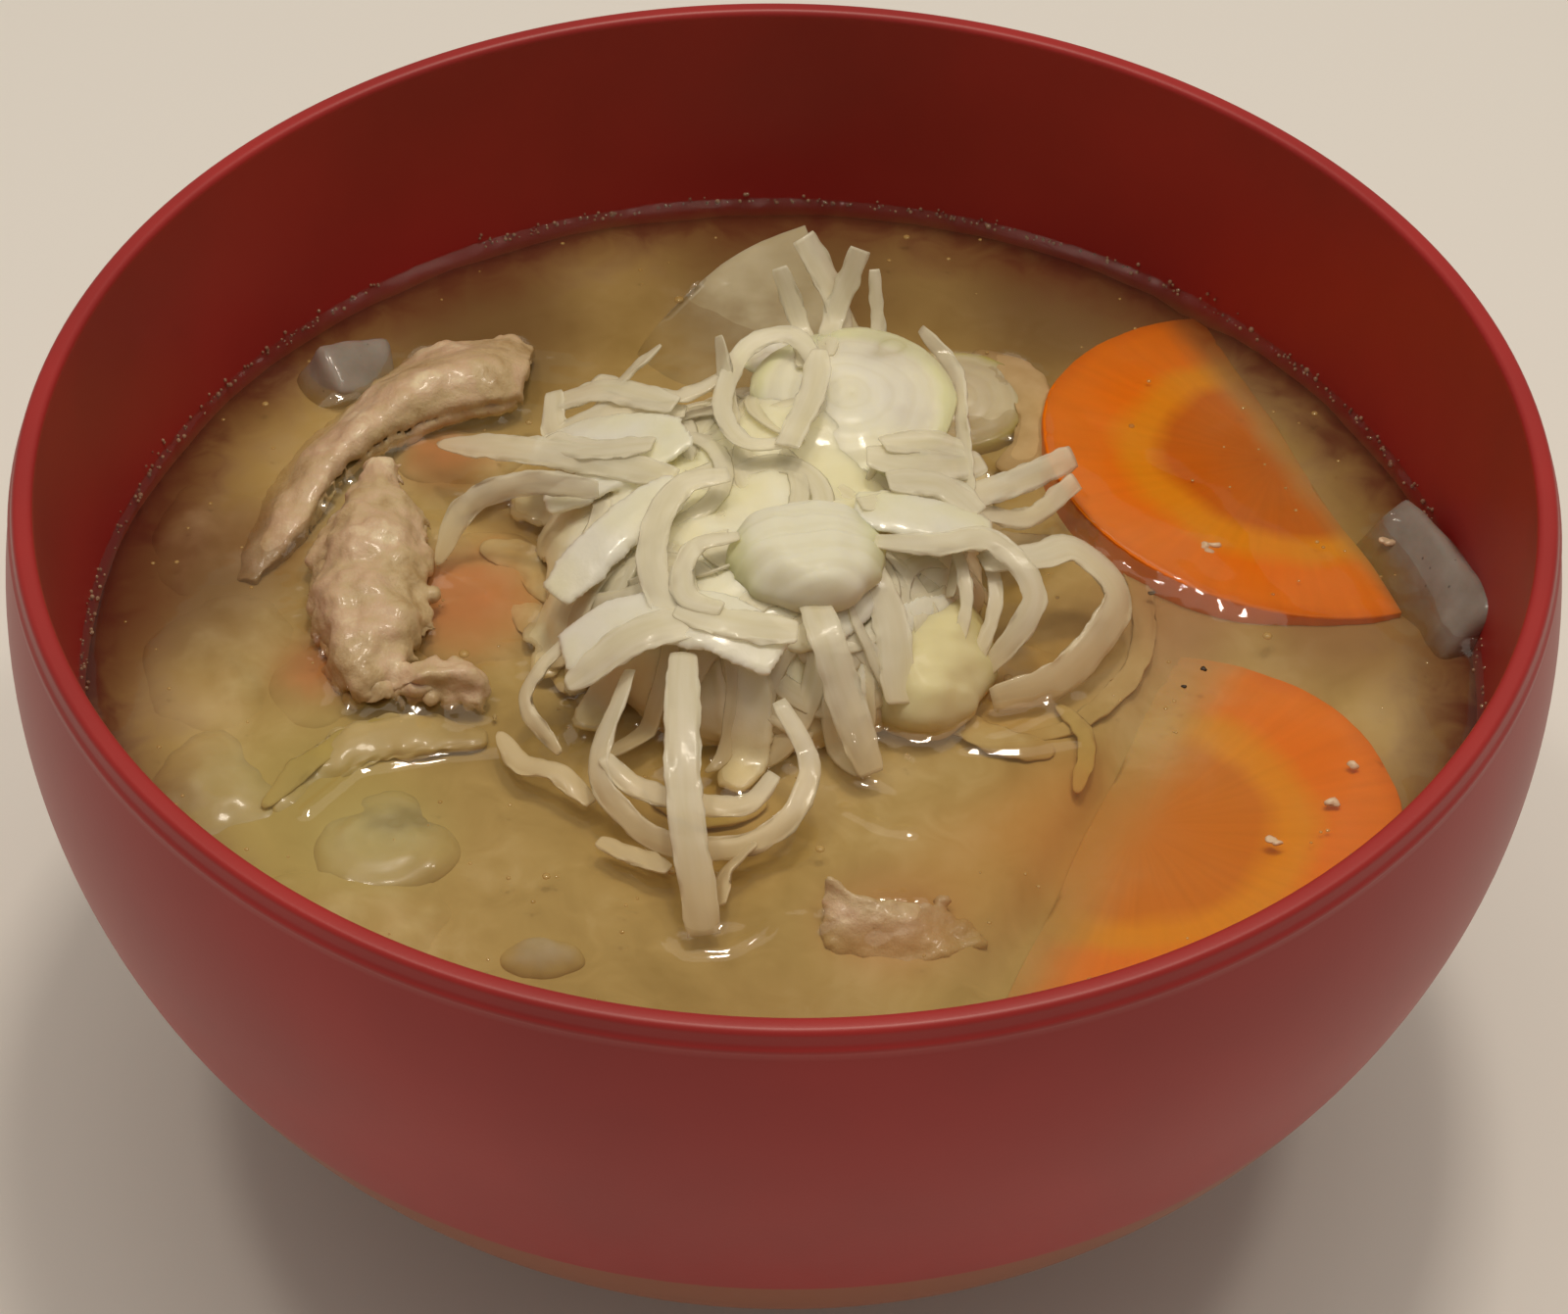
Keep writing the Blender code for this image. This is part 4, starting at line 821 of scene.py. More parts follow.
# The shreds that stand out from the heap: points, width, roll at both ends and how blunt the ends are
heapStrands = (
    (((-29.9, 18.6, 50.5), (-23.3, 14.3, 54.0), (-15.6, 10.0, 56.5), (-9.0, 7.0, 57.4)), 2.8, (10, 30), (0.1, 0.6)),
    (((-29.0, 5.7, 48.3), (-26.5, 9.1, 52.0), (-21.4, 8.6, 55.0), (-15.4, 6.4, 56.5)), 2.2, (35, 20), (0.1, 0.6)),
    (((-17.2, -8.0, 53.5), (-20.4, -11.8, 50.5), (-17.4, -16.5, 49.0)), 1.3, (10, 10), (0.6, 0.4)),
    (((-10.8, 22.1, 59.0), (-14.4, 19.9, 56.5), (-16.9, 17.8, 54.0)), 1.5, (30, 10), (0.3, 0.6)),
    (((-5.9, 21.0, 61.0), (-5.1, 17.3, 58.0), (-4.3, 12.2, 57.0)), 1.6, (60, 20), (0.5, 0.6)),
    (((-19.9, 20.4, 55.0), (-19.3, 16.5, 54.0), (-15.1, 16.8, 56.0), (-8.5, 15.9, 57.0)), 2.4, (20, 5), (0.6, 0.6)),
    (((-4.6, 5.8, 59.0), (-8.1, 4.8, 59.0), (-10.2, 1.4, 58.3), (-10.6, -3.3, 57.6), (-9.1, -7.8, 57.3),
      (-5.6, -10.2, 57.4)), 2.6, (0, 10), (0.6, 0.6)),
    (((0.4, 9.8, 59.0), (-3.6, 10.2, 58.8), (-5.4, 15.0, 58.8), (-3.6, 21.4, 59.4), (0.2, 22.8, 59.8),
      (2.4, 18.6, 59.6), (1.0, 14.0, 59.4)), 1.7, (0, 20), (0.6, 0.6)),
    (((1.1, 31.4, 63.6), (3.7, 29.4, 59.4), (4.6, 26.6, 57.0), (3.6, 21.0, 57.6)), 2.6, (20, -20), (0.8, 0.6)),
    (((-0.9, 28.5, 62.5), (1.0, 26.1, 57.8), (1.4, 20.0, 58.6)), 1.8, (40, 10), (0.7, 0.6)),
    (((6.0, 30.3, 63.2), (3.8, 27.3, 58.0), (3.2, 22.0, 58.2)), 2.0, (-40, 0), (0.9, 0.6)),
    (((7.2, 29.4, 61.8), (7.7, 26.0, 57.2), (7.6, 21.0, 57.6)), 1.2, (0, 0), (0.7, 0.6)),
    (((2.6, 20.0, 60.6), (2.0, 14.6, 60.4), (0.0, 8.9, 59.5)), 2.4, (5, 10), (0.5, 0.9)),
    (((11.4, 28.1, 56.4), (14.2, 22.5, 56.4), (14.6, 16.5, 56.4), (14.9, 10.2, 56.0),
      (14.8, 4.6, 55.0), (13.5, -1.4, 52.6)), 1.6, (50, 40), (0.5, 0.5)),
    (((6.0, 3.0, 58.6), (10.6, 5.0, 57.4), (14.8, 7.0, 56.0), (19.6, 10.9, 54.5), (24.3, 15.7, 53.0)), 2.4, (0, 40),
     (0.6, 0.9)),
    (((12.0, 5.0, 56.0), (16.0, 6.6, 54.6), (20.3, 8.8, 52.2), (24.5, 13.8, 52.0)), 1.8, (10, 30), (0.5, 0.9)),
    (((7.0, -1.0, 58.2), (12.3, -0.1, 57.2), (16.6, 1.3, 56.5), (20.0, -1.4, 54.5), (19.7, -3.8, 52.6),
      (16.2, -6.7, 49.0)), 2.1, (5, 45), (0.6, 0.5)),
    (((16.0, 0.6, 54.6), (20.5, 2.3, 54.0), (23.9, 3.8, 53.5), (27.2, 1.6, 51.5), (26.9, -1.2, 50.2),
      (22.6, -6.5, 48.6), (17.0, -8.6, 48.0)), 3.2, (0, 5), (0.6, 0.6)),
    (((2.0, -5.4, 57.0), (3.6, -10.6, 56.3), (5.3, -14.0, 52.2), (7.3, -17.4, 48.3)), 3.0, (0, 10), (0.6, 0.6)),
    (((-7.8, -12.0, 56.0), (-7.6, -19.4, 55.3), (-7.2, -25.7, 53.0), (-6.0, -31.2, 49.5), (-5.5, -33.8, 47.4)), 2.9,
     (0, 0), (0.7, 0.9)),
    (((-12.0, -12.0, 54.0), (-14.2, -19.4, 51.0), (-12.1, -23.2, 49.5), (-8.4, -25.8, 48.8), (-3.3, -26.1, 49.0),
      (0.7, -24.0, 50.0), (2.3, -19.4, 51.5), (-0.2, -15.1, 54.0)), 1.9, (30, 0), (0.6, 0.6)),
    (((-13.8, -19.1, 51.5), (-11.0, -21.4, 50.5), (-5.8, -23.0, 50.5), (-2.4, -23.3, 51.0), (-0.4, -21.1, 52.0)), 1.9,
     (10, 10), (0.6, 0.6)),
    (((-17.0, -12.9, 53.0), (-11.8, -10.8, 56.5), (-6.0, -9.6, 57.6)), 3.4, (0, 10), (0.3, 0.7)),
    (((-22.5, -13.8, 48.5), (-20.4, -17.0, 48.3), (-17.5, -18.5, 49.0), (-14.7, -21.2, 48.3)), 1.9, (10, 0),
     (0.1, 0.5)),
    (((-14.0, -24.8, 48.0), (-8.3, -28.1, 48.5)), 1.7, (0, 0), (0.5, 0.5)),
    (((-1.8, -26.0, 49.5), (-4.0, -28.1, 48.3), (-4.3, -31.3, 48.0)), 1.6, (40, 40), (0.6, 0.6)),
    (((-3.6, -1.8, 59.2), (-6.9, -2.4, 58.8), (-8.1, -5.0, 58.3), (-7.6, -7.8, 58.0), (-4.8, -9.0, 58.0)), 1.9,
     (10, 0), (0.5, 0.6)),
    (((-8.4, -8.4, 57.6), (-3.8, -10.1, 57.6), (1.2, -10.2, 56.9)), 3.2, (0, 5), (0.6, 0.6)),
    (((6.2, -1.6, 57.0), (8.6, -6.0, 54.4), (9.4, -11.8, 50.6)), 3.0, (0, 5), (0.6, 0.6)),
    (((-19.4, 19.8, 54.6), (-15.2, 19.0, 56.6), (-9.3, 15.6, 58.0)), 2.8, (0, 5), (0.8, 0.6)),
    (((-20.0, 15.3, 54.4), (-16.5, 11.7, 56.4), (-11.0, 10.6, 58.0)), 3.0, (0, 5), (0.7, 0.6)),
    (((8.3, 5.9, 58.6), (12.7, 6.7, 57.6), (15.9, 4.4, 56.6)), 3.2, (0, 5), (0.6, 0.6)),
    (((7.9, 10.2, 58.8), (12.0, 12.1, 57.6), (14.9, 12.8, 56.2)), 2.8, (0, 5), (0.6, 0.6)),
    (((-21.5, 15.0, 53.0), (-15.5, 14.2, 56.0), (-9.0, 12.5, 57.8)), 4.6, (0, 5), (0.7, 0.6)),
    (((-20.0, 8.0, 53.2), (-14.0, 9.4, 56.2), (-8.0, 12.0, 58.0)), 4.0, (5, 0), (0.5, 0.6)),
    (((-18.6, -3.0, 53.2), (-14.0, 1.4, 56.2), (-8.5, 5.4, 58.2)), 4.6, (0, 5), (0.6, 0.6)),
    (((-17.6, -9.6, 53.4), (-12.0, -8.4, 56.2), (-5.5, -9.6, 57.4), (0.0, -12.2, 56.0)), 6.0, (0, 0), (0.7, 0.7)),
    (((5.5, 3.4, 58.2), (11.0, 2.6, 57.8), (17.0, 2.4, 56.0)), 5.0, (0, 5), (0.6, 0.5)),
    (((6.6, 9.0, 58.6), (12.0, 9.2, 57.6), (16.4, 12.0, 55.6)), 3.6, (0, 5), (0.6, 0.5)),
    (((16.0, 4.0, 55.0), (17.2, -2.0, 52.5), (14.6, -8.5, 48.8)), 1.2, (0, 10), (0.6, 0.4)),
    (((13.8, 3.0, 55.5), (14.8, -3.0, 52.8), (12.4, -9.8, 48.6)), 1.1, (0, 10), (0.6, 0.4)),
    (((-16.4, 21.6, 55.6), (-13.2, 18.4, 57.0), (-9.0, 17.0, 57.8), (-4.6, 19.6, 58.6)), 1.8, (10, 0), (0.6, 0.6)),
)
heapRounds = (  # name, centre, slope, radius, stretch in X and Y, thickness, dome, number of layers
    ("wide", (5.4, 17.4, 58.0), (0.0, 0.12), 8.6, (1.0, 1.06), 0.5, 0.016, 5),
    ("under", (0.4, 24.8, 56.6), (-0.06, -0.2), 5.0, (1.0, 0.9), 0.5, 0.02, 4),
)
heapBulbs = (  # name, centre, half sizes, turn, spacing of its layers
    ("dome", (1.7, -1.6, 56.9), (6.6, 5.6, 3.1), 12, 2.1), ("sheath", (9.8, -3.8, 48.4), (7.2, 8.8, 4.5), 24, 3.4),
)
heapShreds = {"seed": 7, "groups": (  # count, width, thickness, length, arc radius, roll, lift, bend across
    (56, (3.2, 5.6), (0.6, 0.8), (9, 18), (5.5, 12), 8, (-0.35, 0.1), 14),
    (74, (1.5, 2.7), (0.25, 0.35), (10, 24), (3.6, 9), 14, (-0.3, 0.3), 0),
    (14, (0.9, 1.5), (0.3, 0.4), (8, 16), (4, 12), 50, (0.0, 0.9), 0))}
heapMound = {"centre": (-1.5, 6.0), "radii": (19.4, 21.5), "height": 7.9,
             "lobes": (((3.0, 17.0), 2.6, 8.0), ((1.6, -1.0), 2.0, 6.5), ((-13.0, 13.0), 0.8, 6.0), ((-8.0, -10.0), 1.6, 7.0))}


def heapLevel(x, y):
    # The height of the heap's mean skin over the point
    across = (x - heapMound["centre"][0]) / heapMound["radii"][0]
    back = (y - heapMound["centre"][1]) / heapMound["radii"][1]
    spread = across * across + back * back
    swell = sum(high * math.exp(-((x - cx) ** 2 + (y - cy) ** 2) / (reach * reach))
                for (cx, cy), high, reach in heapMound["lobes"])
    return soupLevel + max(0.0, 1 - spread ** 2.1) * (heapMound["height"] + swell)


def heapFacing(x, y):
    step = 0.4
    return ((heapLevel(x - step, y) - heapLevel(x + step, y)) / (2 * step),
            (heapLevel(x, y - step) - heapLevel(x, y + step)) / (2 * step), 1.0)


def roundMaterial(name, centre, radius, layers, rim, alpha=1.0, sunk=0.0):
    # A leek cut across: thin translucent layers one inside another, the outer one green
    material, tree, shader = newMaterial("leek cut across, " + name, {
        "Roughness": 0.3, "IOR": 1.4, "Subsurface Weight": 0.4, "Subsurface Scale": 2.5 * mm,
        "Subsurface Radius": (1.0, 0.95, 0.6), "Coat Weight": 0.4, "Coat Roughness": 0.1, "Alpha": alpha})
    place = addNode(tree, "ShaderNodeTexCoord").outputs["Object"]
    local = addNode(tree, "ShaderNodeMapping", {"Location": -Vector(centre) * mm}, {0: place})
    warp = addNode(tree, "ShaderNodeTexNoise", {"Scale": 1 / (5 * mm), "Detail": 2.0}, {"Vector": place})
    parts = addNode(tree, "ShaderNodeSeparateXYZ", links={0: local.outputs[0]})
    flat = addNode(tree, "ShaderNodeCombineXYZ", links={0: parts.outputs["X"], 1: parts.outputs["Y"]})
    reach = addNode(tree, "ShaderNodeVectorMath", {"operation": "LENGTH"}, {0: flat.outputs[0]})
    sway = addNode(tree, "ShaderNodeMapRange", {3: -1.0 * mm, 4: 1.0 * mm}, {0: warp.outputs["Fac"]})
    swayed = addNode(tree, "ShaderNodeMath", {"operation": "ADD"}, {0: reach.outputs["Value"], 1: sway.outputs[0]})
    share = addNode(tree, "ShaderNodeMath", {"operation": "DIVIDE", 1: radius * mm}, {0: swayed.outputs[0]})
    tone = addNode(tree, "ShaderNodeValToRGB", {"stops": [
        (0.0, "#f4eecd"), (0.3, "#f8f3da"), (0.8, "#f4edca"), (0.93, rim), (1.0, rim)]},
        {0: share.outputs[0]})
    # Dark thin gaps between the layers
    turns = addNode(tree, "ShaderNodeMath", {"operation": "MULTIPLY", 1: layers * math.tau}, {0: share.outputs[0]})
    wave = addNode(tree, "ShaderNodeMath", {"operation": "COSINE"}, {0: turns.outputs[0]})
    gap = addNode(tree, "ShaderNodeMapRange", {"interpolation_type": "SMOOTHSTEP", 1: 0.55, 2: 1.0, 3: 0.0, 4: 0.1},
                  {0: wave.outputs[0]})
    lined = addNode(tree, "ShaderNodeMix", {"data_type": "RGBA", 7: srgb("#d8cc98")},
                    {0: gap.outputs[0], 6: tone.outputs[0]})
    tree.links.new(fadeIntoBroth(tree, lined.outputs[2], -0.4, 1.5, sunk), shader.inputs["Base Color"])
    bump = addNode(tree, "ShaderNodeBump", {"Strength": 0.2, "Distance": 0.1 * mm, "invert": True},
                   {"Height": wave.outputs[0]})
    tree.links.new(bump.outputs[0], shader.inputs["Normal"])
    return material


def leekDisc(centre, slope, radius, stretch, thick, dome, layers, seed):
    # A leek round turned from its section: low ridges for its layers, its middle raised and its edge a little uneven
    rows = round(radius / 0.4)
    line = [(radius * i / rows, 0.0) for i in range(rows)]
    line += [(radius + 0.0, -0.25 * thick), (radius + 0.1, -0.5 * thick), (radius, -0.8 * thick)]
    line += [(radius * (1 - i / 8), -thick) for i in range(1, 9)]
    bm = spinLine(line, 80)
    for vert in bm.verts:
        reach = vert.co.xy.length
        turn = math.atan2(vert.co.y, vert.co.x)
        if vert.co.z > -0.3 * thick:
            vert.co.z -= 0.03 * math.cos(layers * math.tau * reach / radius)
        vert.co.z -= dome * reach * reach
        vert.co.x *= stretch[0] * (1 + 0.04 * math.sin(3 * turn + seed))
        vert.co.y *= stretch[1] * (1 + 0.03 * math.sin(2 * turn + seed * 2))
    bm.transform(slopeMatrix(centre, 0, slope))
    roughen(bm, [(6.0, 0.7), (1.8, 0.14)], seed=seed)
    return bm


def bulbMaterial(name, centre, turn, spacing, edge):
    # The curved outside of a leek's layers: pale and glassy, fine lines where one layer ends over the next
    material, tree, shader = newMaterial("leek layers, " + name, {
        "Roughness": 0.45, "IOR": 1.4, "Subsurface Weight": 0.45, "Subsurface Scale": 3 * mm,
        "Subsurface Radius": (1.0, 0.95, 0.6), "Specular IOR Level": 0.25, "Coat Weight": 0.05,
        "Coat Roughness": 0.15})
    place = addNode(tree, "ShaderNodeTexCoord").outputs["Object"]
    centred = addNode(tree, "ShaderNodeMapping", {"Location": -Vector(centre) * mm}, {0: place})
    local = addNode(tree, "ShaderNodeMapping", {"Rotation": (0, 0, -math.radians(turn))}, {0: centred.outputs[0]})
    parts = addNode(tree, "ShaderNodeSeparateXYZ", links={0: local.outputs[0]})
    square = addNode(tree, "ShaderNodeMath", {"operation": "MULTIPLY"}, {0: parts.outputs["X"], 1: parts.outputs["X"]})
    arched = addNode(tree, "ShaderNodeMath", {"operation": "MULTIPLY", 1: 38.0}, {0: square.outputs[0]})
    warp = addNode(tree, "ShaderNodeTexNoise", {"Scale": 1 / (4 * mm), "Detail": 3.0}, {"Vector": place})
    sway = addNode(tree, "ShaderNodeMapRange", {3: -1.2 * mm, 4: 1.2 * mm}, {0: warp.outputs["Fac"]})
    base = addNode(tree, "ShaderNodeMath", {"operation": "ADD"}, {0: parts.outputs["Y"], 1: arched.outputs[0]})
    swayed = addNode(tree, "ShaderNodeMath", {"operation": "ADD"}, {0: base.outputs[0], 1: sway.outputs[0]})
    turns = addNode(tree, "ShaderNodeMath", {"operation": "MULTIPLY", 1: math.tau / (spacing * mm)},
                    {0: swayed.outputs[0]})
    wave = addNode(tree, "ShaderNodeMath", {"operation": "SINE"}, {0: turns.outputs[0]})
    line = addNode(tree, "ShaderNodeMapRange", {"interpolation_type": "SMOOTHSTEP", 1: 0.4, 2: 1.0, 3: 0.0, 4: 0.16},
                   {0: wave.outputs[0]})
    side = addNode(tree, "ShaderNodeMath", {"operation": "ABSOLUTE"}, {0: parts.outputs["X"]})
    tint = addNode(tree, "ShaderNodeMapRange", {"interpolation_type": "SMOOTHSTEP", 1: 3.6 * mm, 2: 6.6 * mm,
                   3: 0.0, 4: 0.75}, {0: side.outputs[0]})
    light, lined, rim = edge
    tone = addNode(tree, "ShaderNodeMix", {"data_type": "RGBA", 6: srgb(light), 7: srgb(lined)}, {0: line.outputs[0]})
    rimmed = addNode(tree, "ShaderNodeMix", {"data_type": "RGBA", 7: srgb(rim)}, {0: tint.outputs[0], 6: tone.outputs[2]})
    tree.links.new(fadeIntoBroth(tree, rimmed.outputs[2], -1.5, 1.0), shader.inputs["Base Color"])
    bump = addNode(tree, "ShaderNodeBump", {"Strength": 0.25, "Distance": 0.05 * mm}, {"Height": wave.outputs[0]})
    tree.links.new(bump.outputs[0], shader.inputs["Normal"])
    return material


def heapMaterial():
    # Raw leek packed and wet: light spreads from shred to shred, so the mass looks milky and its gaps stay pale
    material, tree, shader = newMaterial("wet raw leek, packed shreds", {
        "Roughness": 0.3, "IOR": 1.4, "Subsurface Weight": 0.7, "Subsurface Scale": 1.6 * mm,
        "Subsurface Radius": (1.0, 0.96, 0.85), "Coat Weight": 0.4, "Coat Roughness": 0.1})
    place = addNode(tree, "ShaderNodeTexCoord").outputs["Object"]
    cloud = addNode(tree, "ShaderNodeTexNoise", {"Scale": 1 / (9 * mm), "Detail": 3.0}, {"Vector": place})
    tone = addNode(tree, "ShaderNodeValToRGB", {"stops": [(0.36, leekColours["pale"]), (0.6, leekColours["white"])]},
                   {0: cloud.outputs["Fac"]})
    parts = addNode(tree, "ShaderNodeSeparateXYZ", links={0: place})
    soak = addNode(tree, "ShaderNodeMapRange", {"interpolation_type": "SMOOTHSTEP", 1: 53.0 * mm, 2: 47.5 * mm,
                   3: 0.0, 4: 0.7}, {0: parts.outputs["Z"]})
    soaked = addNode(tree, "ShaderNodeMix", {"data_type": "RGBA", 7: srgb(leekColours["soaked"])},
                     {0: soak.outputs[0], 6: tone.outputs[0]})
    tree.links.new(fadeIntoBroth(tree, soaked.outputs[2], -0.8, 1.2), shader.inputs["Base Color"])
    fine = addNode(tree, "ShaderNodeTexNoise", {"Scale": 1 / (0.8 * mm), "Detail": 3.0}, {"Vector": place})
    bump = addNode(tree, "ShaderNodeBump", {"Strength": 0.3, "Distance": 0.15 * mm}, {"Height": fine.outputs["Fac"]})
    tree.links.new(bump.outputs[0], shader.inputs["Normal"])
    return material


def looseShred(dice, widths, thicks, lengths, arcs, tip, lifts, bend, number):
    # An arc cut from one of the leek's rings, laid over the mound in any direction
    turn = dice.uniform(0, math.tau)
    reach = math.sqrt(dice.uniform(0, 0.98))
    x = heapMound["centre"][0] + reach * math.cos(turn) * (heapMound["radii"][0] - 1.0)
    y = heapMound["centre"][1] + reach * math.sin(turn) * (heapMound["radii"][1] - 1.5)
    heading = dice.uniform(0, math.tau)
    length = dice.uniform(*lengths) * (1.0 - 0.3 * reach)
    arc = dice.uniform(*arcs) * dice.choice((-1, 1))
    lift = dice.uniform(*lifts) * (1.0 - 0.5 * reach)
    wave = dice.uniform(0.1, 0.7)
    points = []
    for step in range(13):
        s = (step / 12 - 0.5) * length
        px = x + arc * (math.sin(heading + s / arc) - math.sin(heading))
        py = y - arc * (math.cos(heading + s / arc) - math.cos(heading))
        pz = heapLevel(px, py) + lift + wave * math.cos(math.pi * s / length)
        points.append((px, py, max(pz, soupLevel - 0.3)))
    roll = dice.uniform(-tip, tip)
    return bandMesh(points, dice.uniform(*widths), dice.uniform(*thicks), (roll, roll + dice.uniform(-tip, tip)),
                    (dice.uniform(0.15, 0.8), dice.uniform(0.15, 0.8)), 22, 8, bend, 0.15, 500 + number * 7.3, 0.6,
                    heapFacing)


def buildHeap():
    made = []
    # The heap's middle, in place of the imported leek_heap part: a lumpy core and the broad shreds on it, grown
    # together into one skin
    bm = bmesh.new()
    bmesh.ops.create_uvsphere(bm, u_segments=120, v_segments=60, radius=1.0)
    for vert in bm.verts:
        x = heapMound["centre"][0] + vert.co.x * (heapMound["radii"][0] - 1.2)
        y = heapMound["centre"][1] + vert.co.y * (heapMound["radii"][1] - 1.2)
        z = heapLevel(x, y) - 0.3 if vert.co.z >= 0 else soupLevel - 1.5 + 1.2 * (1 + vert.co.z)
        vert.co = Vector((x, y, z))
    roughen(bm, [(5.0, 0.8), (1.8, 0.3)])
    loose = bmesh.new()
    dice = random.Random(heapShreds["seed"])
    number = 0
    for group, (count, widths, thicks, lengths, arcs, tip, lifts, bend) in enumerate(heapShreds["groups"]):
        for shred in range(count):
            number += 1
            addMesh(loose if group else bm,
                    looseShred(dice, widths, thicks, lengths, arcs, tip, lifts, bend, number))
    single = bmesh.new()
    for number, (points, wide, roll, ends) in enumerate(heapStrands):
        broad = wide > 3.9
        addMesh(bm if broad else single,
                bandMesh(points, wide, 0.6 if broad else 0.3, roll, ends, steps=48, ring=16, shift=number * 13.7,
                         frill=0.25, square=0.45, bend=16))
    bm = oneSkin(bm, 0.3)
    bmesh.ops.smooth_vert(bm, verts=bm.verts, factor=0.5, use_axis_x=True, use_axis_y=True, use_axis_z=True)
    made.append(makePiece("leekHeapMass", bm, heapMaterial(), ["leek_heap"]))
    white = leekMaterial("raw leek shreds, wet", leekColours["white"], leekColours["cream"], 0.0, 0.56)
    made.append(makePiece("leekShreds", loose, white))
    made.append(makePiece("leekStrands", single, white))

    for number, (name, centre, slope, radius, stretch, thick, dome, layers) in enumerate(heapRounds):
        bm = leekDisc(centre, slope, radius, stretch, thick, dome, layers, number * 2.3)
        made.append(makePiece("leekRound_" + name, bm, roundMaterial(name, centre, radius, layers, "#e9e7b2")))
    tones = {"dome": ("#ebe8d0", "#dcd6b0", "#dadd9c"), "sheath": ("#e4daa8", "#d4c790", "#cabf7c")}
    for name, centre, half, turn, spacing in heapBulbs:
        bm = bmesh.new()
        bmesh.ops.create_uvsphere(bm, u_segments=120, v_segments=80, radius=1.0)
        # Each layer ends in a low curved step over the next
        for vert in bm.verts:
            x, y, z = (vert.co[k] * half[k] for k in range(3))
            place = (y + 0.03 * x * x + 0.5 * noise.noise((x / 4, y / 4, spacing))) / spacing
            step = place - math.floor(place)
            step = step / 0.8 if step < 0.8 else (1 - step) / 0.2
            vert.co = Vector((x, y, z)) + vert.co * 0.17 * (step - 0.5)
        bm.transform(Matrix.Translation(centre) @ Matrix.Rotation(math.radians(turn), 4, "Z"))
        roughen(bm, [(5.0, 0.9), (1.8, 0.2)], seed=half[0])
        made.append(makePiece("leekBulb_" + name, bm, bulbMaterial(name, centre, turn, spacing, tones[name])))
    return made


leekRound = {"centre": (15.0, 29.6, 47.6), "slope": (0.05, 0.09), "radii": (5.9, 4.7, 3.5, 2.3), "wide": 1.3,
             "thick": 2.4}
leekStrip = {"crest": ((-39.0, -21.0, 45.6), (-37.0, -16.6, 46.5), (-33.0, -13.6, 47.0), (-28.6, -12.6, 47.1),
                       (-23.6, -12.4, 46.5)), "wide": 4.4, "bend": 34}


def buildLooseLeek():
    made = []
    green = leekMaterial("simmered leek, green side", "#bbac68", "#a69850", 0.2)
    shape = leekRound
    bm = leekDisc(shape["centre"], shape["slope"], 6.6, (1.0, 1.0), 2.6, 0.004, 4, 4.0)
    flesh = roundMaterial("simmered", shape["centre"], 6.6, 4, "#c9c45c", 0.85, 0.45)
    made.append(makePiece("leekRoundPiece", bm, flesh, ["leek_round"]))
    bm = bandMesh(leekStrip["crest"], leekStrip["wide"], 0.6, (20, -10), (0.3, 0.3), 90, 32, leekStrip["bend"], 0.5,
                  77.0, 0.5)
    roughen(bm, [(3.5, 0.4), (1.2, 0.08)])
    made.append(makePiece("leekStripPiece", bm, green, ["leek_strip"]))
    return made


# --- what lies just under or on the surface ---
sunkDiscs = (  # name, centre, slope, radius, thickness, layers, colour of the rim
    ("sunkLeaf", (-44.6, -18.0, 46.7), (0.02, 0.02), 6.8, 0.8, 2, "#a59c54"),
    ("sunkRound", (-30.9, -23.6, 46.9), (0.01, -0.01), 5.6, 0.8, 3, "#c9c45e"),
)
sunkBands = (  # points, width, kind
    (((25.2, 19.2, 46.0), (28.3, 13.1, 46.3), (30.0, 5.8, 46.5), (29.6, -1.2, 46.5), (27.3, -5.8, 46.4),
      (23.2, -9.9, 46.3), (18.4, -11.1, 46.1)), 2.0, "pale"),
    (((16.6, 36.4, 47.0), (19.8, 33.8, 47.7), (21.8, 29.4, 47.9), (21.4, 23.6, 47.7), (18.4, 20.4, 47.2)), 3.6, "pink"),
    (((-28.0, 13.4, 47.2), (-24.4, 16.4, 47.7), (-20.4, 16.8, 47.6)), 2.2, "pale"),
    (((-25.6, 10.0, 46.8), (-21.4, 7.6, 47.3), (-18.6, 2.6, 47.2)), 3.6, "pale"),
    (((-22.8, 3.8, 46.7), (-18.6, -2.0, 47.2), (-17.0, -7.6, 46.8)), 3.4, "pale"),
    (((13.4, -8.6, 46.5), (17.0, -11.6, 46.9), (22.0, -12.8, 46.4)), 3.0, "pale"),
    (((22.4, -7.4, 46.5), (24.6, -11.6, 46.8), (23.6, -17.2, 46.4)), 1.5, "green"),
    (((-10.6, -17.0, 46.7), (-6.0, -20.4, 46.8), (-1.0, -19.0, 46.7)), 3.0, "green"),
    (((-40.6, -20.6, 46.5), (-37.0, -15.4, 46.9), (-31.4, -11.6, 46.9), (-25.0, -12.4, 46.5)), 2.2, "green"),
)
sunkLumps = (  # centre, half sizes, kind
    ((-17.8, -35.4, 46.0), (3.3, 1.9, 1.3), "clear"), ((-25.0, 4.0, 45.6), (7.5, 8.5, 1.5), "salmon"),
    ((-37.6, -6.6, 45.6), (4.6, 4.8, 1.5), "salmon"), ((-28.6, 21.6, 45.8), (5.8, 3.8, 1.3), "salmon"),
    
    ((18.6, -3.6, 45.7), (5.0, 3.8, 1.4), "clear"),
    ((-49.0, 11.0, 45.4), (5.4, 7.8, 1.5), "pink"), ((-33.0, -32.0, 45.4), (9.0, 6.6, 1.5), "pale"),
    ((-46.0, -4.0, 45.4), (6.6, 8.6, 1.5), "pale"))
sunkColours = {"pale": ("#efe3b0", "#dcc98c"), "green": ("#d4c05c", "#bba84a"), "pink": ("#d2b48c", "#c0a076"),
               "salmon": ("#dd8c52", "#ca8048"), "clear": ("#c4beb2", "#aca38e")}
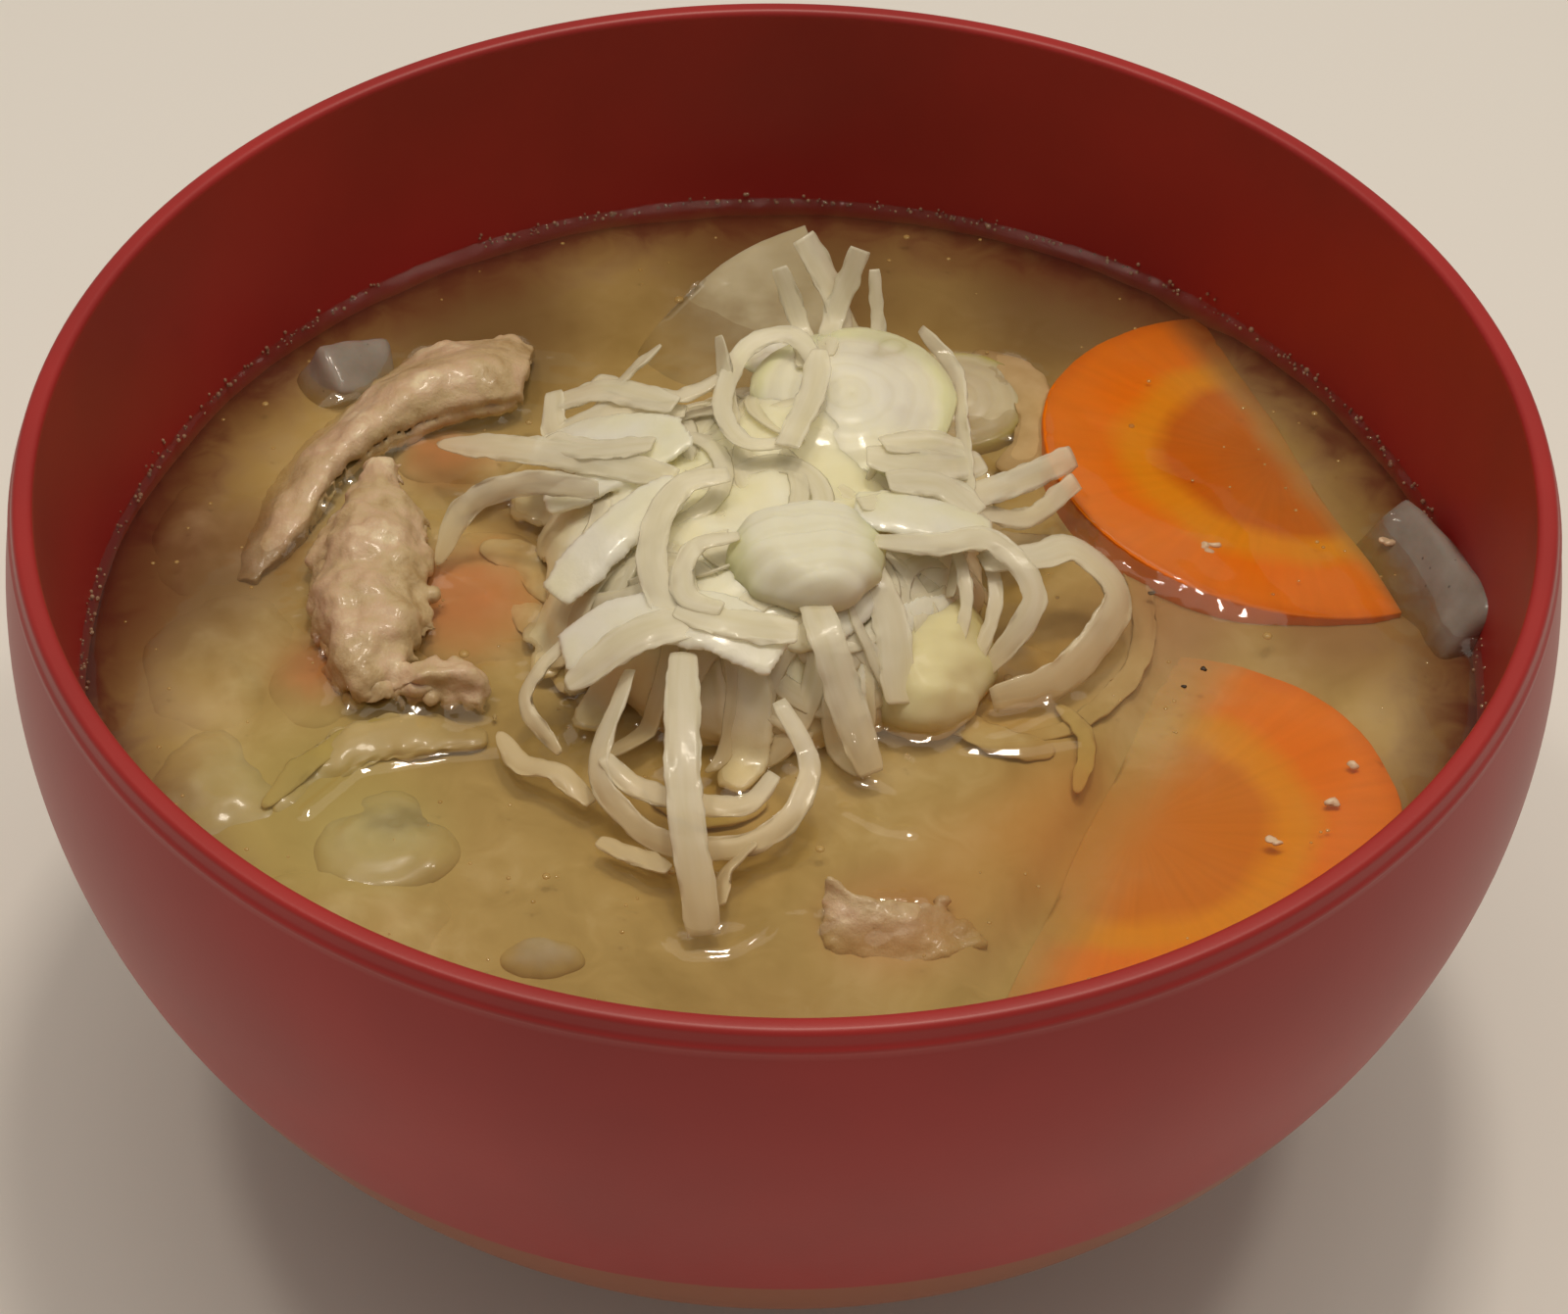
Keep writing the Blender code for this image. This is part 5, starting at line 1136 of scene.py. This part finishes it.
specks = {"white": ((35.9, 9.8, 47.75), (35.3, 10.5, 47.75), (36.4, 10.7, 47.75), (45.6, -14.6, 47.5), (38.9, -23.1, 47.5),
                    (38.4, -22.8, 47.5), (43.6, -18.8, 47.5), (51.4, 11.6, 47.6), (50.9, 11.9, 47.6)),
          "black": ((30.7, 4.9, 47.6), (32.7, -6.2, 47.6), (34.4, -4.0, 47.5), (-8.0, -22.0, 47.6))}
froth = {"wallBeads": 420, "oilDots": 220, "seed": 21}


def sunkMaterial(kind):
    # Simmered pieces under the surface: soft, soaked and seen through broth
    material, tree, shader = newMaterial("simmered " + kind + " piece, soaked", {
        "Roughness": 0.7, "IOR": 1.4, "Specular IOR Level": 0.2})
    place = addNode(tree, "ShaderNodeTexCoord").outputs["Object"]
    cloud = addNode(tree, "ShaderNodeTexNoise", {"Scale": 1 / (2.5 * mm), "Detail": 3.0}, {"Vector": place})
    light, dark = sunkColours[kind]
    tone = addNode(tree, "ShaderNodeValToRGB", {"stops": [(0.35, dark), (0.65, light)]}, {0: cloud.outputs["Fac"]})
    tree.links.new(fadeIntoBroth(tree, tone.outputs[0], -0.2, 1.1, 0.45), shader.inputs["Base Color"])
    return material


def buildSunk():
    made = []
    for number, (name, centre, slope, radius, thick, layers, rim) in enumerate(sunkDiscs):
        bm = leekDisc(centre, slope, radius, (1.0, 1.0), thick, 0.028, layers, number + 8.0)
        made.append(makePiece(name, bm, roundMaterial(name, centre, radius, layers, rim, 1.0, 0.7)))
    for kind in sunkColours:
        bm = bmesh.new()
        for number, (points, wide, its) in enumerate(sunkBands):
            if its == kind:
                addMesh(bm, bandMesh(points, wide, 0.35, (0, 0), (0.2, 0.2), 40, 14, 20 if wide > 2 else 0, 0.3,
                                     number * 9.1, 0.7))
        for number, (centre, half, its) in enumerate(sunkLumps):
            if its == kind:
                lump = bmesh.new()
                bmesh.ops.create_icosphere(lump, subdivisions=4, radius=1.0,
                                           matrix=Matrix.Translation(centre) @ Matrix.Diagonal((*half, 1)))
                roughen(lump, [(3.0, 0.5), (1.2, 0.12)], seed=number * 3.1)
                addMesh(bm, lump)
        made.append(makePiece("simmered_" + kind, bm, sunkMaterial(kind)))
    return made


def buildSpecks():
    dice = random.Random(froth["seed"])
    colours = {"white": ("boiled tofu crumb", "#f0d9b8", 0.4), "black": ("charred spice fleck", "#2c2118", 0.5)}
    for kind, places in specks.items():
        bm = bmesh.new()
        for place in places:
            size = dice.uniform(0.3, 0.58) if kind == "white" else dice.uniform(0.22, 0.36)
            bmesh.ops.create_icosphere(bm, subdivisions=2, radius=size, matrix=Matrix.Translation(place)
                                       @ Matrix.Diagonal((1.2, 0.8, 0.4, 1)))
        roughen(bm, [(0.7, 0.35), (0.3, 0.12)])
        name, code, roughness = colours[kind]
        material, tree, shader = newMaterial(name, {"Roughness": roughness})
        place = addNode(tree, "ShaderNodeTexCoord").outputs["Object"]
        grain = addNode(tree, "ShaderNodeTexNoise", {"Scale": 1 / (0.3 * mm)}, {"Vector": place})
        tone = addNode(tree, "ShaderNodeMix", {"data_type": "RGBA", 6: srgb(code), 7: srgb("#d8b48c" if kind == "white" else "#4a3c2a")},
                       {0: grain.outputs["Fac"]})
        tree.links.new(tone.outputs[2], shader.inputs["Base Color"])
        makePiece(kind + "Specks", bm, material)
    # Froth beads cling along the wall's waterline, thickest at the back right and on both sides
    edge = innerRadiusAt(soupLevel)
    beads = []
    for bead in range(froth["wallBeads"]):
        turn = math.radians(dice.choice((dice.uniform(-25, 60), dice.uniform(60, 120), dice.uniform(130, 200))))
        size = dice.uniform(0.08, 0.2) * (1.5 if dice.random() < 0.1 else 1.0)
        up = abs(dice.gauss(0, 0.5))
        radius = edge - dice.uniform(0.0, 0.7) if dice.random() < 0.6 else innerRadiusAt(soupLevel + up) - 0.05
        level = soupLevel + (0.25 if radius < edge - 0.05 else up)
        beads.append(((radius * math.cos(turn), radius * math.sin(turn), level), (size, size, size)))
    bm = bmesh.new()
    scatterCopies(bm, beadShape(8, 5), beads)
    material, tree, shader = newMaterial("froth beads of broth", {"Roughness": 0.05, "Specular IOR Level": 0.9,
                                                                 "Alpha": 0.55})
    place = addNode(tree, "ShaderNodeTexCoord").outputs["Object"]
    cloud = addNode(tree, "ShaderNodeTexNoise", {"Scale": 1 / (2 * mm)}, {"Vector": place})
    tone = addNode(tree, "ShaderNodeValToRGB", {"stops": [(0.3, "#94604a"), (0.7, "#d8bc98")]}, {0: cloud.outputs["Fac"]})
    tree.links.new(tone.outputs[0], shader.inputs["Base Color"])
    makePiece("wallFroth", bm, material)
    # Oil drops lie flat on the broth
    drops = []
    for drop in range(froth["oilDots"]):
        turn = dice.uniform(0, math.tau)
        radius = (edge - 2) * math.sqrt(dice.random())
        size = dice.uniform(0.1, 0.22) if dice.random() < 0.9 else dice.uniform(0.3, 0.5)
        drops.append(((radius * math.cos(turn), radius * math.sin(turn), soupLevel), (size, size, 0.45 * size)))
    bm = bmesh.new()
    scatterCopies(bm, beadShape(8, 5), drops)
    material, tree, shader = newMaterial("drops of oil on broth", {"Roughness": 0.04, "Specular IOR Level": 1.0,
                                                                  "Alpha": 0.45})
    place = addNode(tree, "ShaderNodeTexCoord").outputs["Object"]
    cloud = addNode(tree, "ShaderNodeTexNoise", {"Scale": 1 / (2 * mm)}, {"Vector": place})
    tone = addNode(tree, "ShaderNodeValToRGB", {"stops": [(0.3, "#c29a4e"), (0.7, "#e0c078")]}, {0: cloud.outputs["Fac"]})
    tree.links.new(tone.outputs[0], shader.inputs["Base Color"])
    makePiece("oilDrops", bm, material)


# --- view, light and floor ---
cameraSet = {"place": (0.0, -0.2126, 0.2533), "forward": (0.0005, 0.7125, -0.7016), "right": (0.99979, 0.01396, 0.01489),
             "lens": 82.3, "sensor": 36.0}
lightSet = {"world": 0.25, "worldColour": "#f6efe4", "lamps": {  # size, watts, place
    "softBox": (0.7, 1.45, (0.0, 0.06, 0.85)), "mainLamp": (0.10, 1.4, (0.05, 0.12, 0.80)),
    "leftLamp": (0.07, 0.5, (-0.22, 0.02, 0.75)), "rightLamp": (0.07, 0.5, (0.28, 0.04, 0.72))}}


def buildStage():
    scene = bpy.context.scene
    lens = bpy.data.cameras.new("view")
    lens.lens = cameraSet["lens"]
    lens.sensor_width = cameraSet["sensor"]
    lens.clip_start = 0.01
    camera = bpy.data.objects.new("view", lens)
    forward = Vector(cameraSet["forward"]).normalized()
    right = Vector(cameraSet["right"])
    right = (right - forward * right.dot(forward)).normalized()
    camera.matrix_world = Matrix.Translation(cameraSet["place"]) @ Matrix(
        (right, right.cross(forward), -forward)).transposed().to_4x4()
    scene.collection.objects.link(camera)
    scene.camera = camera
    world = bpy.data.worlds.new("pale room")
    world.use_nodes = True
    backdrop = world.node_tree.nodes["Background"]
    backdrop.inputs["Color"].default_value = srgb(lightSet["worldColour"])
    backdrop.inputs["Strength"].default_value = lightSet["world"]
    scene.world = world
    for name, (size, watts, place) in lightSet["lamps"].items():
        lamp = bpy.data.lights.new(name, "AREA")
        lamp.shape = "SQUARE"
        lamp.size = size
        lamp.energy = watts
        lamp.color = srgb("#fff3e2")[:3]
        light = bpy.data.objects.new(name, lamp)
        light.location = place
        light.rotation_euler = (Vector((0, 0, 0.05)) - light.location).to_track_quat("-Z", "Y").to_euler()
        scene.collection.objects.link(light)
    bm = bmesh.new()
    bmesh.ops.create_grid(bm, x_segments=2, y_segments=2, size=1.5)
    mesh = bpy.data.meshes.new("tableTop")
    bm.to_mesh(mesh)
    bm.free()
    # A pale matt laminate table
    material, tree, shader = newMaterial("pale matt laminate", {"Roughness": 0.6, "Base Color": srgb("#f6f3ee")})
    mesh.materials.append(material)
    floor = bpy.data.objects.new("tableTop", mesh)
    scene.collection.objects.link(floor)
    print("stage, camera and lights are set")


buildStage()
buildBowl()
buildBrothBody()
standing = buildCarrots()
standing.append(buildDaikon())
standing += buildKonnyaku()
standing += buildPork()
standing += buildLooseLeek()
standing += buildHeap()
standing += buildSunk()
buildSpecks()
buildBrothSurface(standing)
